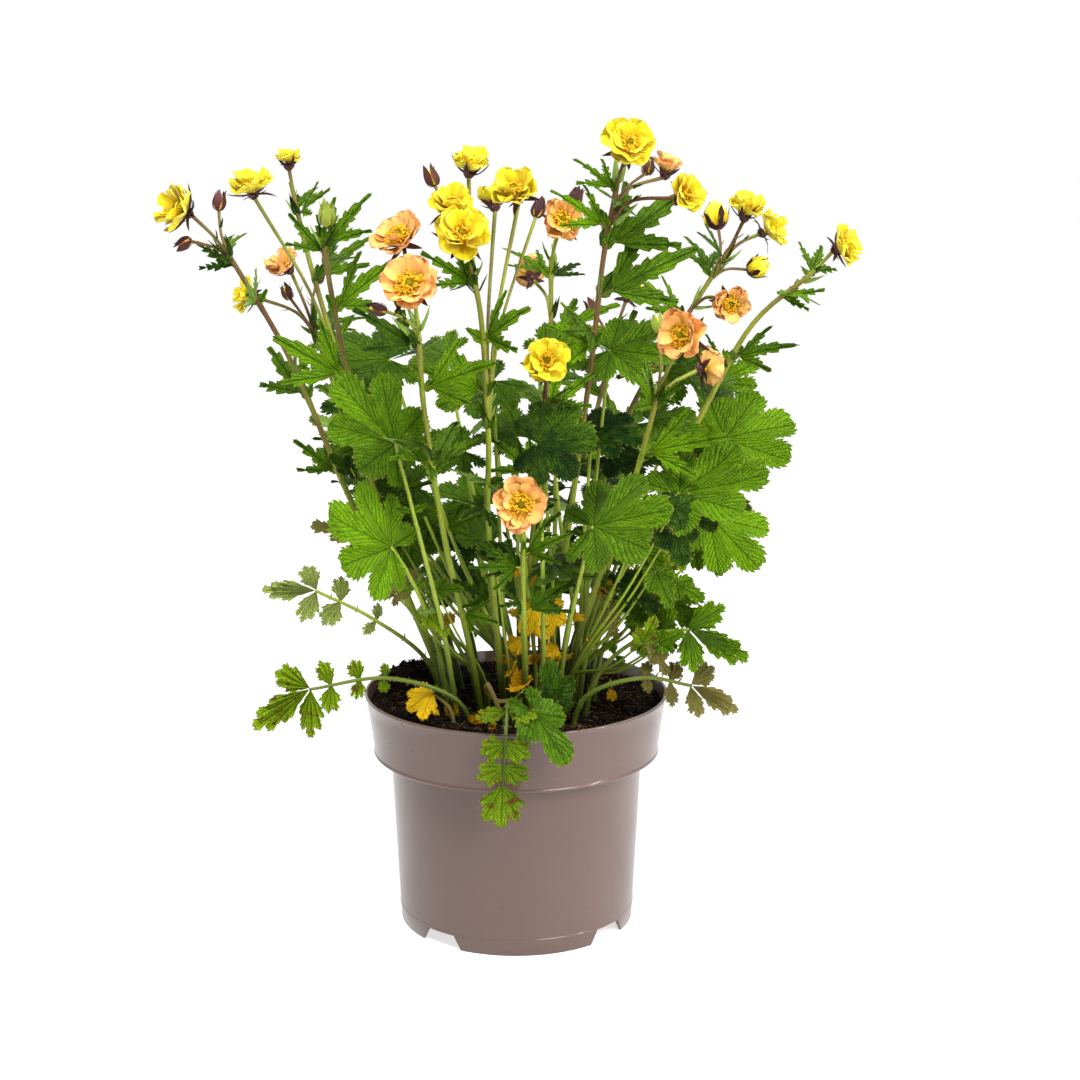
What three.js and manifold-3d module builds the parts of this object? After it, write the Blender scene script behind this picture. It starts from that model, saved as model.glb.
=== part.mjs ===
// Potted water avens: a double-flowered geum in a 19 cm nursery container.
// Millimetres, +Z up, origin on the ground under the middle of the pot. The front is -Y.

import * as THREE from "three";
import { mergeVertices } from "three/addons/utils/BufferGeometryUtils.js";
import Module from "manifold-3d";

const wasm = await Module();
wasm.setup();

// Pot
const POT_HEIGHT = 148;
const RIM_RADIUS = 95;
const RIM_FOOT_RADIUS = 89.5;
const RIM_DEPTH = 37;
const NECK_RADIUS = 79.5;
const BASE_RADIUS = 74;
const WALL = 1.4;
const FLOOR_UNDERSIDE = 9.4;
const FLOOR_THICKNESS = 1.6;
const POT_SEGMENTS = 32;
const NOTCH_COUNT = 4;
const NOTCH_FIRST_TURN = 231;
const NOTCH_HEIGHT = 10.4;
const NOTCH_WIDTH_LOW = 32;
const NOTCH_WIDTH_HIGH = 21;
const DRAIN_RADIUS = 6;
const DRAIN_RING_RADIUS = 46;
const DRAIN_SIDES = 10;

// Compost
const COMPOST_LEVEL = 140;
const COMPOST_SEGMENTS = 24;
const CROWN_RADIUS = 60;
const CROWN_RISE = 1;
const HEAP = { x: -64, y: 44, height: 9, spread: 30 };
const RIPPLE = 1.2;
const HOLE_SIDES = 5;
const HOLE_MOUTH = 3;

// Clearances and thicknesses
const GAP = 0.3;
const KEEP_CLEAR = 0.45;
const LEAF_THICKNESS = 0.9;
const PETAL_THICKNESS = 0.8;
const SMALLEST_FEATURE = 0.03;

// Stalks
const STALK_SIDES = 4;
const STEM_STEPS = 6;
const LEAF_STALK_STEPS = 4;
const STEM_RADIUS = 1.9;
const PEDICEL_RADIUS = 1.2;
const PEDICEL_SIDES = 3;
const PEDICEL_LEAN = 0.21;
const PEDICEL_BEND = 0.25;
const LEAF_STALK_RADIUS = 1.5;

const COLOURS = {
  pot: { color: 0x8a7a73, roughness: 0.42 },
  compost: { color: 0x2a1c15, roughness: 0.97 },
  stem: { color: 0x7c8a3c, roughness: 0.6 },
  leaf: { color: 0x3f8a1e, roughness: 0.5 },
  withered: { color: 0xd9901c, roughness: 0.75 },
  yellow: { color: 0xf6e034, roughness: 0.55 },
  apricot: { color: 0xee9f6a, roughness: 0.55 },
};

// Flowering stems. way is the main axis from its foot in the compost to its top.
// blooms: [centre, facing, radius, colour, height at which the pedicel leaves the axis].
// buds: [centre, facing, length, height at which the pedicel leaves the axis].
// leaves: [height, turn in degrees from +X, rise in degrees, length].
const STEMS = {
  far_left: {
    way: [[-34, -3, 121], [-48, -5, 168], [-98, -12, 265], [-137, -16, 362], [-172, -19, 425]],
    blooms: [[[-193, -30, 447], [-0.8, -0.45, 0.4], 16, "yellow", 418]],
    buds: [[[-196, -18, 428], [-0.8, 0.1, -0.5], 10, 416], [[-176, -10, 452], [0.1, 0.2, 1], 11, 420]],
    leaves: [[423, 95, 30, 24], [392, 250, 35, 31], [334, 150, 45, 44], [288, 190, 40, 34]],
  },
  left_pair: {
    way: [[-33, 8, 121], [-48, 12, 171], [-89, 24, 278], [-109, 33, 345], [-129, 42, 413],
      [-140, 46, 462]],
    blooms: [[[-161, 26, 457], [-0.15, -0.25, 1], 16, "yellow", 345],
      [[-141, 46, 474], [0, -0.2, 1], 9, "yellow", 440]],
    buds: [],
    leaves: [[446, 60, 40, 24], [400, 15, 45, 47], [356, 110, 30, 45], [300, 125, 35, 48]],
  },
  left_back: {
    way: [[-31, 20, 121], [-44, 27, 174], [-68, 42, 224], [-102, 62, 290], [-134, 84, 373]],
    blooms: [[[-150, 98, 405], [-0.5, -0.4, 0.6], 12, "apricot", 368],
      [[-171, 80, 388], [-0.95, -0.2, 0.25], 13, "yellow", 362]],
    buds: [[[-147, 72, 391], [-0.3, -0.3, 0.9], 10, 352], [[-131, 108, 398], [0.3, 0.5, 0.8], 11, 364]],
    leaves: [[366, 20, 20, 35], [322, 95, 30, 52], [285, 150, 40, 42]],
  },
  left_front: {
    way: [[-30, -16, 121], [-50, -24, 173], [-73, -36, 239], [-91, -52, 320], [-105, -70, 409],
      [-107, -75, 432]],
    blooms: [],
    buds: [[[-105, -77, 447], [0.1, -0.1, 1], 13, 428]],
    leaves: [[428, 350, 55, 40], [424, 190, 50, 31], [392, 320, 40, 50], [352, 170, 30, 52]],
  },
  front_left: {
    way: [[-19, -20, 121], [-27, -36, 180], [-41, -58, 255], [-51, -84, 336], [-53, -104, 391]],
    blooms: [[[-62, -97, 434], [-0.3, -0.6, 0.7], 16, "apricot", 382],
      [[-55, -126, 411], [-0.1, -0.85, 0.5], 18, "apricot", 386]],
    buds: [[[-74, -112, 398], [-0.9, -0.2, 0.2], 10, 380]],
    leaves: [[374, 190, 35, 42], [350, 330, 25, 47], [305, 250, 20, 47],
      [300, 75, 35, 52]],
  },
  front: {
    way: [[-6, -18, 121], [-10, -34, 178], [-16, -52, 270], [-15, -64, 316], [-19, -80, 394],
      [-24, -88, 420]],
    blooms: [[[-34, -93, 451], [0.05, -0.5, 0.85], 14, "yellow", 414],
      [[-28, -119, 437], [0.1, -0.8, 0.55], 17, "yellow", 410],
      [[-25, -58, 472], [0.2, -0.3, 0.9], 12, "yellow", 400],
      [[2, -62, 458], [-0.3, -0.6, 0.7], 15, "yellow", 318],
      [[-12, -31, 452], [-0.2, 0.4, 0.85], 10, "yellow", 330]],
    buds: [[[14, -36, 449], [0.3, 0.3, 0.9], 11, 322], [[-46, -74, 468], [-0.4, 0.1, 0.9], 11, 404]],
    leaves: [[408, 200, 35, 35], [376, 300, 30, 45], [345, 215, 25, 47], [290, 260, 20, 42]],
  },
  back_middle: {
    way: [[6, 12, 121], [7, 20, 180], [15, 38, 249], [20, 55, 311], [22, 72, 365], [22, 86, 413]],
    blooms: [[[29, 70, 436], [0.1, -0.9, 0.35], 15, "apricot", 400],
      [[10, 112, 398], [-0.2, 0.75, 0.5], 12, "apricot", 372]],
    buds: [[[38, 100, 450], [0.3, 0.2, 0.9], 13, 408]],
    leaves: [[400, 150, 35, 40], [362, 20, 30, 52], [318, 120, 25, 54], [280, 60, 25, 52]],
  },
  middle: {
    way: [[3, -7, 121], [4, -13, 174], [9, -26, 237], [15, -37, 295], [18, -46, 344]],
    blooms: [[[19, -59, 362], [0.05, -0.95, 0.3], 15, "yellow", 336]],
    buds: [],
    leaves: [[330, 10, 40, 38], [290, 150, 35, 42]],
  },
  low: {
    way: [[7, -32, 121], [6, -46, 172], [5, -62, 220], [5, -76, 262]],
    blooms: [[[4, -92, 284], [0.02, -0.97, 0.25], 17, "apricot", 258]],
    buds: [],
    leaves: [[250, 330, 30, 33]],
  },
  tall: {
    way: [[14, -1, 121], [22, -5, 175], [36, -12, 280], [46, -16, 357], [53, -20, 422], [61, -22, 466]],
    blooms: [[[67, -31, 484], [0.05, -0.85, 0.5], 17.5, "yellow", 462],
      [[90, -8, 470], [0.2, -0.15, 0.95], 10, "apricot", 446],
      [[97, -46, 457], [0.6, -0.65, 0.35], 12.5, "yellow", 438]],
    buds: [[[80, 12, 472], [0.1, 0.4, 0.9], 11, 440]],
    leaves: [[458, 175, 45, 31], [436, 195, 40, 40], [424, 20, 35, 61], [396, 350, 30, 64],
      [366, 240, 25, 47]],
  },
  back_right: {
    way: [[16, 14, 121], [20, 28, 185], [35, 58, 260], [54, 93, 318], [64, 116, 358]],
    blooms: [[[74, 129, 384], [0.3, 0.45, 0.6], 14, "yellow", 350]],
    buds: [[[50, 133, 376], [-0.4, 0.5, 0.7], 11, 344]],
    leaves: [[350, 10, 30, 47], [322, 135, 25, 54], [282, 60, 25, 57]],
  },
  right: {
    way: [[24, 5, 121], [31, 8, 175], [57, 20, 287], [78, 28, 334], [109, 37, 383], [133, 42, 420]],
    blooms: [[[141, 28, 443], [0.1, -0.25, 0.95], 12, "yellow", 410],
      [[157, 56, 431], [0.8, -0.1, 0.4], 14, "yellow", 414],
      [[130, 10, 391], [0.2, -0.75, -0.15], 13, "apricot", 384]],
    buds: [[[126, 58, 440], [-0.2, 0.3, 0.9], 13, 404], [[150, 34, 410], [0.7, -0.3, 0.5], 11, 402]],
    leaves: [[404, 115, 45, 40], [376, 200, 50, 42], [344, 95, 25, 54], [300, 60, 30, 59]],
  },
  right_front: {
    way: [[27, -11, 121], [35, -18, 172], [55, -28, 238], [72, -39, 291], [85, -50, 345]],
    blooms: [[[98, -72, 379], [-0.5, -0.8, 0.15], 16, "apricot", 340],
      [[112, -38, 356], [0.6, 0.25, 0.1], 13, "apricot", 334]],
    buds: [[[84, -40, 382], [-0.2, 0.2, 0.95], 11, 338]],
    leaves: [[334, 250, 40, 40], [305, 330, 20, 52], [262, 280, 25, 50]],
  },
  far_right: {
    way: [[35, -1, 121], [40, -2, 171], [83, -4, 257], [116, -5, 328], [145, -8, 381], [178, -12, 410]],
    blooms: [[[193, -17, 425], [0.85, -0.4, 0.35], 14, "yellow", 404]],
    buds: [],
    leaves: [[408, 60, 35, 35], [398, 290, 5, 31], [358, 330, 20, 42], [352, 200, 40, 31],
      [330, 80, 30, 47]],
  },
};

// Basal leaves. way is the stalk from its foot to the base of the end leaflet, tip is that
// leaflet's tip and face points out of its upper side. pairs: [share of the stalk, length].
const LEAVES = {
  leaf_upper_left: {
    way: [[-34, -34, 121], [-42, -46, 190], [-58, -68, 270], [-68, -82, 318]],
    tip: [-96, -108, 356], face: [-0.25, -0.8, 0.5], width: 60, pairs: [[0.78, 9]],
  },
  leaf_left: {
    way: [[-41, -24, 121], [-48, -34, 187], [-63, -60, 236], [-72, -76, 256]],
    tip: [-98, -108, 282], face: [-0.05, -0.8, 0.55], width: 76, pairs: [[0.74, 9]],
  },
  leaf_middle: {
    way: [[15, -36, 121], [17, -44, 190], [16, -54, 260], [13, -66, 316]],
    tip: [43, -84, 322], face: [0.1, -0.9, 0.35], width: 58, pairs: [[0.78, 8]],
  },
  leaf_front_right: {
    way: [[24, -30, 121], [30, -40, 185], [40, -62, 240], [46, -74, 268]],
    tip: [84, -102, 286], face: [-0.05, -0.85, 0.55], width: 64, pairs: [[0.76, 9]],
  },
  leaf_far_right: {
    way: [[44, 10, 121], [54, 12, 185], [86, 14, 252], [120, 14, 298], [130, 13, 306]],
    tip: [174, 22, 318], face: [0.15, -0.7, 0.65], width: 76, pairs: [[0.76, 12], [0.62, 8]],
  },
  leaf_right: {
    way: [[37, -22, 121], [45, -30, 185], [70, -45, 243], [97, -60, 285]],
    tip: [144, -78, 303], face: [0.05, -0.7, 0.65], width: 66, pairs: [[0.74, 20]],
  },
  leaf_right_low: {
    way: [[46, -10, 121], [55, -13, 180], [88, -18, 236], [118, -22, 264]],
    tip: [147, -38, 240], face: [0.3, -0.8, 0.5], width: 64, pairs: [[0.74, 12]],
  },
  leaf_low_right: {
    way: [[40, -34, 121], [50, -40, 168], [78, -52, 196], [104, -58, 202]],
    tip: [138, -66, 188], face: [0.1, -0.8, 0.6], width: 36, pairs: [[0.86, 15], [0.7, 11], [0.56, 8]],
  },
  leaf_rim_right: {
    way: [[32, -48, 121], [42, -54, 158], [77, -62, 173], [106, -62, 168]],
    tip: [134, -62, 154], face: [0.15, -0.8, 0.6], width: 30, pairs: [[0.86, 13], [0.72, 9]],
  },
  leaf_rim_left: {
    way: [[-24, -42, 121], [-34, -50, 154], [-76, -56, 171], [-124, -56, 164]],
    tip: [-158, -58, 142], face: [-0.1, -0.9, 0.45], width: 38,
    pairs: [[0.88, 16], [0.75, 12], [0.63, 8]],
  },
  leaf_low_left: {
    way: [[-44, -8, 121], [-54, -13, 168], [-88, -24, 200], [-122, -30, 219]],
    tip: [-152, -34, 222], face: [0, -0.75, 0.65], width: 34, pairs: [[0.86, 17], [0.68, 10]],
  },
  leaf_over_rim: {
    way: [[-2, -48, 121], [-3, -62, 152], [-4, -90, 163], [-5, -103, 150]],
    tip: [-8, -110, 96], face: [0, -0.9, 0.3], width: 26, pairs: [[0.8, 17], [0.62, 12]],
  },
  leaf_folded: {
    way: [[10, -50, 121], [13, -58, 152], [12, -84, 166], [11, -96, 162]],
    tip: [30, -112, 140], face: [0.1, -0.7, 0.65], width: 34, pairs: [],
  },
  leaf_small_round: {
    way: [[25, -42, 121], [26, -52, 148], [25, -60, 158]],
    tip: [20, -72, 184], face: [0.15, -0.8, 0.55], width: 32, pairs: [],
  },
  leaf_back: {
    way: [[4, 32, 121], [6, 44, 180], [10, 84, 236], [12, 106, 250]],
    tip: [16, 148, 236], face: [0.1, 0.45, 0.85], width: 64, pairs: [[0.74, 12], [0.6, 8]],
  },
  leaf_back_left: {
    way: [[-22, 34, 121], [-32, 46, 178], [-62, 84, 220], [-76, 100, 228]],
    tip: [-106, 132, 212], face: [-0.3, 0.4, 0.85], width: 60, pairs: [[0.74, 12]],
  },
  withered_leaf_left: {
    way: [[-36, -46, 121], [-40, -50, 150], [-50, -50, 160]],
    tip: [-66, -52, 152], face: [-0.1, -0.7, 0.7], width: 24, pairs: [],
  },
  withered_leaf_middle: {
    way: [[14, -22, 121], [15, -26, 170], [14, -30, 214]],
    tip: [20, -40, 192], face: [0.2, -0.9, 0.2], width: 22, pairs: [[0.8, 12], [0.55, 11]],
  },
};

const point = (list) => new THREE.Vector3(...list);

function solid(geometry) {
  geometry.deleteAttribute("normal");
  geometry.deleteAttribute("uv");
  const merged = mergeVertices(geometry, 1e-4);
  return new wasm.Manifold(new wasm.Mesh({
    numProp: 3,
    vertProperties: new Float32Array(merged.attributes.position.array),
    triVerts: new Uint32Array(merged.index.array),
  }));
}

function largestBody(body) {
  const parts = body.decompose();
  parts.sort((a, b) => b.volume() - a.volume());
  return parts[0];
}

function polygon(radius, sides) {
  const shape = new THREE.Shape();
  for (let i = 0; i < sides; i++) {
    const turn = (2 * Math.PI * i) / sides;
    const method = i === 0 ? "moveTo" : "lineTo";
    shape[method](radius * Math.cos(turn), radius * Math.sin(turn));
  }
  return shape;
}

function tube(curve, radius, sides, steps) {
  return solid(new THREE.ExtrudeGeometry(polygon(radius, sides), {
    steps,
    extrudePath: curve,
    bevelEnabled: false,
  }));
}

function lathe(profile, segments) {
  const points = profile.map(([radius, height]) => new THREE.Vector2(radius, height));
  return new THREE.LatheGeometry(points, segments).rotateX(Math.PI / 2);
}

// Axes of a flat thing that grows from a point towards a tip with a given upper side
function bladeAxes(along, face) {
  const forward = along.clone().normalize();
  const up = face.clone().addScaledVector(forward, -face.dot(forward)).normalize();
  const left = new THREE.Vector3().crossVectors(up, forward);
  return { forward, left, up };
}

// A thin plate through points, with the same triangles on both faces. rim holds the indices of
// the points along its edge. grow makes the larger twin that other nodes are kept clear of.
function plate(points, faces, rim, thickness, grow = 0) {
  const normals = points.map(() => new THREE.Vector3());
  for (const [a, b, c] of faces) {
    const normal = points[b].clone().sub(points[a]).cross(points[c].clone().sub(points[a]));
    [a, b, c].forEach((corner) => normals[corner].add(normal));
  }
  normals.forEach((normal) => normal.normalize());
  const swollen = points.map((p) => p.clone());
  rim.forEach((corner, i) => {
    const before = points[rim[(i + rim.length - 1) % rim.length]];
    const after = points[rim[(i + 1) % rim.length]];
    const outward = after.clone().sub(before).cross(normals[corner]).normalize();
    swollen[corner].addScaledVector(outward, grow);
  });
  const positions = [];
  for (const side of [1, -1]) {
    swollen.forEach((p, i) => {
      positions.push(...p.clone().addScaledVector(normals[i], side * (thickness / 2 + grow)).toArray());
    });
  }
  const under = points.length;
  const index = [];
  for (const [a, b, c] of faces) {
    index.push(a, b, c, under + a, under + c, under + b);
  }
  rim.forEach((a, i) => {
    const b = rim[(i + 1) % rim.length];
    index.push(under + a, under + b, b, under + a, b, a);
  });
  const geometry = new THREE.BufferGeometry();
  geometry.setAttribute("position", new THREE.Float32BufferAttribute(positions, 3));
  geometry.setIndex(index);
  return solid(geometry);
}

// Leaf on the flowering stem, three pointed lobes: [along, across, height] in shares of its
// length and half width
const STEM_LEAF = [
  [0, 0, 0], [0.32, -0.34, 0.03], [0.66, -1, -0.02], [0.55, -0.3, 0.02],
  [1, 0, -0.1], [0.55, 0.3, 0.02], [0.66, 1, -0.02], [0.32, 0.34, 0.03],
];
const STEM_LEAF_FACES = [[0, 1, 7], [1, 2, 3], [1, 3, 5], [1, 5, 7], [5, 6, 7], [3, 4, 5]];
const STEM_LEAF_HALF_WIDTH = 0.46;
const STEM_LEAF_DROOP = 0.22;
const STEM_LEAF_FACE_UP = 0.7;
const STEM_LEAF_FACE_OUT = 0.5;
const STEM_LEAF_FACE_FRONT = 0.8;

function stemLeaf(at, along, length, grow) {
  const outward = new THREE.Vector3(at.x, at.y, 0).normalize();
  const face = new THREE.Vector3(0, -STEM_LEAF_FACE_FRONT, STEM_LEAF_FACE_UP)
    .addScaledVector(outward, STEM_LEAF_FACE_OUT);
  const axes = bladeAxes(along, face);
  const place = ([u, v, height]) => at.clone()
    .addScaledVector(axes.forward, u * length)
    .addScaledVector(axes.left, v * length * STEM_LEAF_HALF_WIDTH)
    .addScaledVector(axes.up, (height - STEM_LEAF_DROOP * u * u) * length);
  const rim = STEM_LEAF.map((_, i) => i);
  return plate(STEM_LEAF.map(place), STEM_LEAF_FACES, rim, LEAF_THICKNESS, grow);
}

// End leaflet of a basal leaf: lobes with two blunt teeth each, round the end of the stalk.
// [turn from the tip in radians, reach as a share of the length, height as a share of the reach]
const END_LEAFLET_SPREAD = 132;
const LOBE_POINTS = [[-0.25, 1, -0.06], [0.21, 1.03, -0.08], [0.5, 0.8, 0.03]];

function endLeaflet(sideLobes) {
  const reach = sideLobes === 3 ? [1, 0.94, 0.8, 0.6] : [1, 0.86, 0.6];
  const outline = [];
  for (let lobe = -sideLobes; lobe <= sideLobes; lobe++) {
    for (const [turn, share, height] of LOBE_POINTS) {
      const angle = THREE.MathUtils.degToRad(((lobe + turn) * END_LEAFLET_SPREAD) / sideLobes);
      outline.push([angle, reach[Math.abs(lobe)] * share, height]);
    }
  }
  outline.pop();
  return outline;
}

// Side leaflet of a basal leaf: [along the stalk, out from it] in shares of its length, between
// the points where it leaves the rib
const SIDE_LEAFLET = [[0.05, 0.6], [0.38, 1], [0.75, 0.75]];
const SIDE_LEAFLET_BASE = [-0.1, 0.35];
const RIB_HALF_WIDTH = 1;
const RIB_LEAD = 5;
const END_LEAFLET_DROOP = 0.12;

// Where the rib takes over from the round stalk, along the stalk
function ribStart(stalk, spec) {
  const lowest = Math.min(0.97, ...spec.pairs.map(([share]) => share));
  return lowest * stalk.getLength() - RIB_LEAD;
}

// The blade of a basal leaf, one thin arched plate: its rib with pairs of side leaflets cut
// down to it, and the end leaflet as a fan round the end of the stalk
function basalBlade(stalk, spec, grow) {
  const stalkLength = stalk.getLength();
  const stalkEnd = stalk.getPointAt(1);
  const face = point(spec.face);
  const along = point(spec.tip).sub(stalkEnd);
  const endAxes = bladeAxes(along, face);
  const length = along.length();
  const onRib = (u, v) => {
    const share = Math.min(1, u / stalkLength);
    const axes = bladeAxes(stalk.getTangentAt(share), face);
    return stalk.getPointAt(share).addScaledVector(axes.left, v)
      .addScaledVector(axes.up, -0.08 * Math.abs(v));
  };
  const side = [[ribStart(stalk, spec), RIB_HALF_WIDTH]];
  for (const [share, size] of [...spec.pairs].sort((a, b) => a[0] - b[0])) {
    const middle = share * stalkLength;
    side.push([middle + SIDE_LEAFLET_BASE[0] * size, RIB_HALF_WIDTH]);
    SIDE_LEAFLET.forEach(([u, v]) => side.push([middle + u * size, v * size]));
    side.push([middle + SIDE_LEAFLET_BASE[1] * size, RIB_HALF_WIDTH]);
  }
  side.push([stalkLength - 2, RIB_HALF_WIDTH]);
  const right = side.map(([u, v]) => [u, -v]);
  const left = [...side].reverse();
  const strip = [...right, [stalkLength, 0], ...left];
  const hub = right.length;
  const points = strip.map(([u, v]) => onRib(u, v));
  const outline = endLeaflet(spec.width > 40 ? 3 : 2);
  const fan = outline.map(([angle, reach, height]) => {
    const u = reach * Math.cos(angle);
    const v = reach * Math.sin(angle);
    points.push(stalkEnd.clone().addScaledVector(endAxes.forward, u * length)
      .addScaledVector(endAxes.left, (v * spec.width) / 2)
      .addScaledVector(endAxes.up, (height * reach - END_LEAFLET_DROOP * u * u) * length));
    return points.length - 1;
  });
  const contour = strip.map(([u, v]) => new THREE.Vector2(u, v));
  const faces = THREE.ShapeUtils.triangulateShape(contour, []);
  const sweep = [hub - 1, ...fan, hub + 1];
  for (let i = 0; i + 1 < sweep.length; i++) {
    faces.push([hub, sweep[i], sweep[i + 1]]);
  }
  const rim = [...right.map((_, i) => i), ...fan, ...left.map((_, i) => hub + 1 + i)];
  return plate(points, faces, rim, LEAF_THICKNESS, grow);
}

function placed(geometry, at, facing) {
  const turn = new THREE.Quaternion().setFromUnitVectors(new THREE.Vector3(0, 0, 1), facing);
  geometry.applyQuaternion(turn);
  return solid(geometry.translate(at.x, at.y, at.z));
}

// Bloom: a boss of stamens inside two layers of petals. Each layer is a ring round the boss, with
// its petals cut apart down to the ring. Root radii, boss sizes and the inner layer's root are
// those of a full-sized bloom, and shrink with the smaller ones.
const PETALS = 5;
const FULL_SIZE = 15;
const OUTER_PETALS = { root: 5.4, rootHeight: 0.6, rise: 0.36 };
const INNER_PETALS = { root: 5, rootHeight: 3, reach: 0.62, rise: 0.64 };
const BOSS_RADIUS = 4.2;
const BOSS_SHOULDER = 5;
const BOSS_HEIGHT = 6;
const BLOOM_UNDERSIDE = -0.8;

// Edge of a petal: [reach, half width, rise] in shares of the layer's own
const PETAL_RIM = [[0.72, -1, 0.62], [1, -0.42, 1.02], [0.96, 0.46, 0.92], [0.69, 1, 0.7]];
const PETAL_WIDEST = 0.72;
const PETAL_SPACING = 1.2;
const PETAL_LIVELINESS = 0.1;

function petalLayer(shell, firstTurn, rootRadius, rootHeight, radius, height) {
  const rings = { top: [], under: [] };
  const slope = Math.atan2(height - rootHeight, radius - rootRadius);
  const width = (2 * Math.PI * radius * PETAL_WIDEST) / PETALS - PETAL_SPACING;
  const corner = (turn, reach, side, rise, sink) => {
    const lowered = rise - sink * PETAL_THICKNESS * Math.cos(slope);
    const widened = reach + sink * PETAL_THICKNESS * Math.sin(slope);
    const x = widened * Math.cos(turn) - side * Math.sin(turn);
    const y = widened * Math.sin(turn) + side * Math.cos(turn);
    shell.positions.push(x, y, lowered);
    return shell.positions.length / 3 - 1;
  };
  for (let i = 0; i < PETALS; i++) {
    const turn = firstTurn + (2 * Math.PI * i) / PETALS;
    rings.top.push(corner(turn, rootRadius, 0, rootHeight, 0));
    rings.under.push(corner(turn, rootRadius, 0, rootHeight - PETAL_THICKNESS, 0));
  }
  for (let i = 0; i < PETALS; i++) {
    const turn = firstTurn + (2 * Math.PI * (i + 0.5)) / PETALS;
    const lively = 1 + PETAL_LIVELINESS * Math.sin(2.4 * i + radius);
    const rim = (sink) => PETAL_RIM.map(([reach, side, rise]) => corner(turn, radius * reach,
      (side * width) / 2, rootHeight + (height * lively - rootHeight) * rise, sink));
    const next = (i + 1) % PETALS;
    const top = [rings.top[i], ...rim(0), rings.top[next]];
    const under = [rings.under[i], ...rim(1), rings.under[next]];
    for (const [a, b, c] of [[0, 1, 4], [0, 4, 5], [1, 2, 3], [1, 3, 4]]) {
      shell.index.push(top[a], top[b], top[c], under[a], under[c], under[b]);
    }
    for (let k = 0; k < 5; k++) {
      shell.index.push(under[k], under[k + 1], top[k + 1], under[k], top[k + 1], top[k]);
    }
  }
  return rings;
}

function bloom(centre, facing, radius) {
  const boss = Math.min(1, radius / FULL_SIZE);
  const shell = { positions: [], index: [] };
  const halfStep = Math.PI / PETALS;
  const outer = petalLayer(shell, 0, OUTER_PETALS.root * boss, OUTER_PETALS.rootHeight,
    radius, radius * OUTER_PETALS.rise);
  const inner = petalLayer(shell, halfStep, INNER_PETALS.root * boss, INNER_PETALS.rootHeight * boss,
    radius * INNER_PETALS.reach, radius * INNER_PETALS.rise);
  const crown = [];
  const crownRadius = BOSS_RADIUS * boss;
  for (let i = 0; i < PETALS; i++) {
    const turn = halfStep * (2 * i + 1);
    shell.positions.push(crownRadius * Math.cos(turn), crownRadius * Math.sin(turn),
      BOSS_SHOULDER * boss);
    crown.push(shell.positions.length / 3 - 1);
  }
  shell.positions.push(0, 0, BOSS_HEIGHT * boss, 0, 0, BLOOM_UNDERSIDE);
  const apex = shell.positions.length / 3 - 2;
  for (let i = 0; i < PETALS; i++) {
    const next = (i + 1) % PETALS;
    shell.index.push(outer.top[i], outer.top[next], inner.under[i]);
    shell.index.push(outer.top[next], inner.under[next], inner.under[i]);
    shell.index.push(inner.top[i], inner.top[next], crown[next], inner.top[i], crown[next], crown[i]);
    shell.index.push(crown[i], crown[next], apex, apex + 1, outer.under[next], outer.under[i]);
  }
  const geometry = new THREE.BufferGeometry();
  geometry.setAttribute("position", new THREE.Float32BufferAttribute(shell.positions, 3));
  geometry.setIndex(shell.index);
  return placed(geometry, centre, facing);
}

// Calyx: five pointed sepals on a cone-shaped receptacle, behind the petals
const SEPALS = 5;
const SEPAL_REACH = 10;
const SEPAL_SHARE = 0.72;
const SEPAL_TIP_HEIGHT = -2.2;
const SEPAL_NOTCH_RADIUS = 3.4;
const SEPAL_NOTCH_HEIGHT = -1.9;
const CALYX_TOP = -1.2;
const CALYX_BASE = -5;
const PEDICEL_SINK = 3.6;

function calyx(centre, facing, radius) {
  const positions = [0, 0, CALYX_TOP, 0, 0, CALYX_BASE];
  for (let i = 0; i < 2 * SEPALS; i++) {
    const turn = (Math.PI * i) / SEPALS;
    const isTip = i % 2 === 0;
    const reach = isTip ? Math.min(SEPAL_REACH, radius * SEPAL_SHARE) : SEPAL_NOTCH_RADIUS;
    const height = isTip ? SEPAL_TIP_HEIGHT : SEPAL_NOTCH_HEIGHT;
    positions.push(reach * Math.cos(turn), reach * Math.sin(turn), height);
  }
  const index = [];
  for (let i = 0; i < 2 * SEPALS; i++) {
    const a = 2 + i;
    const b = 2 + ((i + 1) % (2 * SEPALS));
    index.push(0, a, b, 1, b, a);
  }
  const star = new THREE.BufferGeometry();
  star.setAttribute("position", new THREE.Float32BufferAttribute(positions, 3));
  star.setIndex(index);
  return placed(star, centre, facing);
}

// Outline of a bud, [radius, height above its middle] in shares of its length
const BUD_PROFILE = [[0, -0.5], [0.3, -0.15], [0.22, 0.175], [0, 0.5]];
const BUD_SIDES = 5;
const BUD_FOOT = -0.3;

function bud(centre, facing, length) {
  const profile = BUD_PROFILE.map(([radius, height]) => [radius * length, height * length]);
  return placed(lathe(profile, BUD_SIDES), centre, facing);
}

function hullTwin(body) {
  const hull = body.hull();
  const box = hull.boundingBox();
  const middle = [0, 1, 2].map((axis) => (box.min[axis] + box.max[axis]) / 2);
  const size = Math.min(...[0, 1, 2].map((axis) => box.max[axis] - box.min[axis]));
  const scale = 1 + (2 * KEEP_CLEAR) / size;
  return hull.translate(middle.map((m) => -m)).scale(scale).translate(middle);
}

// What every node is made of: firm solids, which the layout keeps apart, and blades, which are
// cut back where they would meet another node
const nodes = new Map();
const keepOuts = [];

function addNode(name, look) {
  nodes.set(name, { look, firm: [], blades: [] });
}

function addFirm(name, body, twin) {
  nodes.get(name).firm.push(body);
  keepOuts.push({ name, twin, box: twin.boundingBox() });
}

function addTube(name, curve, radius, sides, steps) {
  addFirm(name, tube(curve, radius, sides, steps), tube(curve, radius + KEEP_CLEAR, sides, steps));
}

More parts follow.
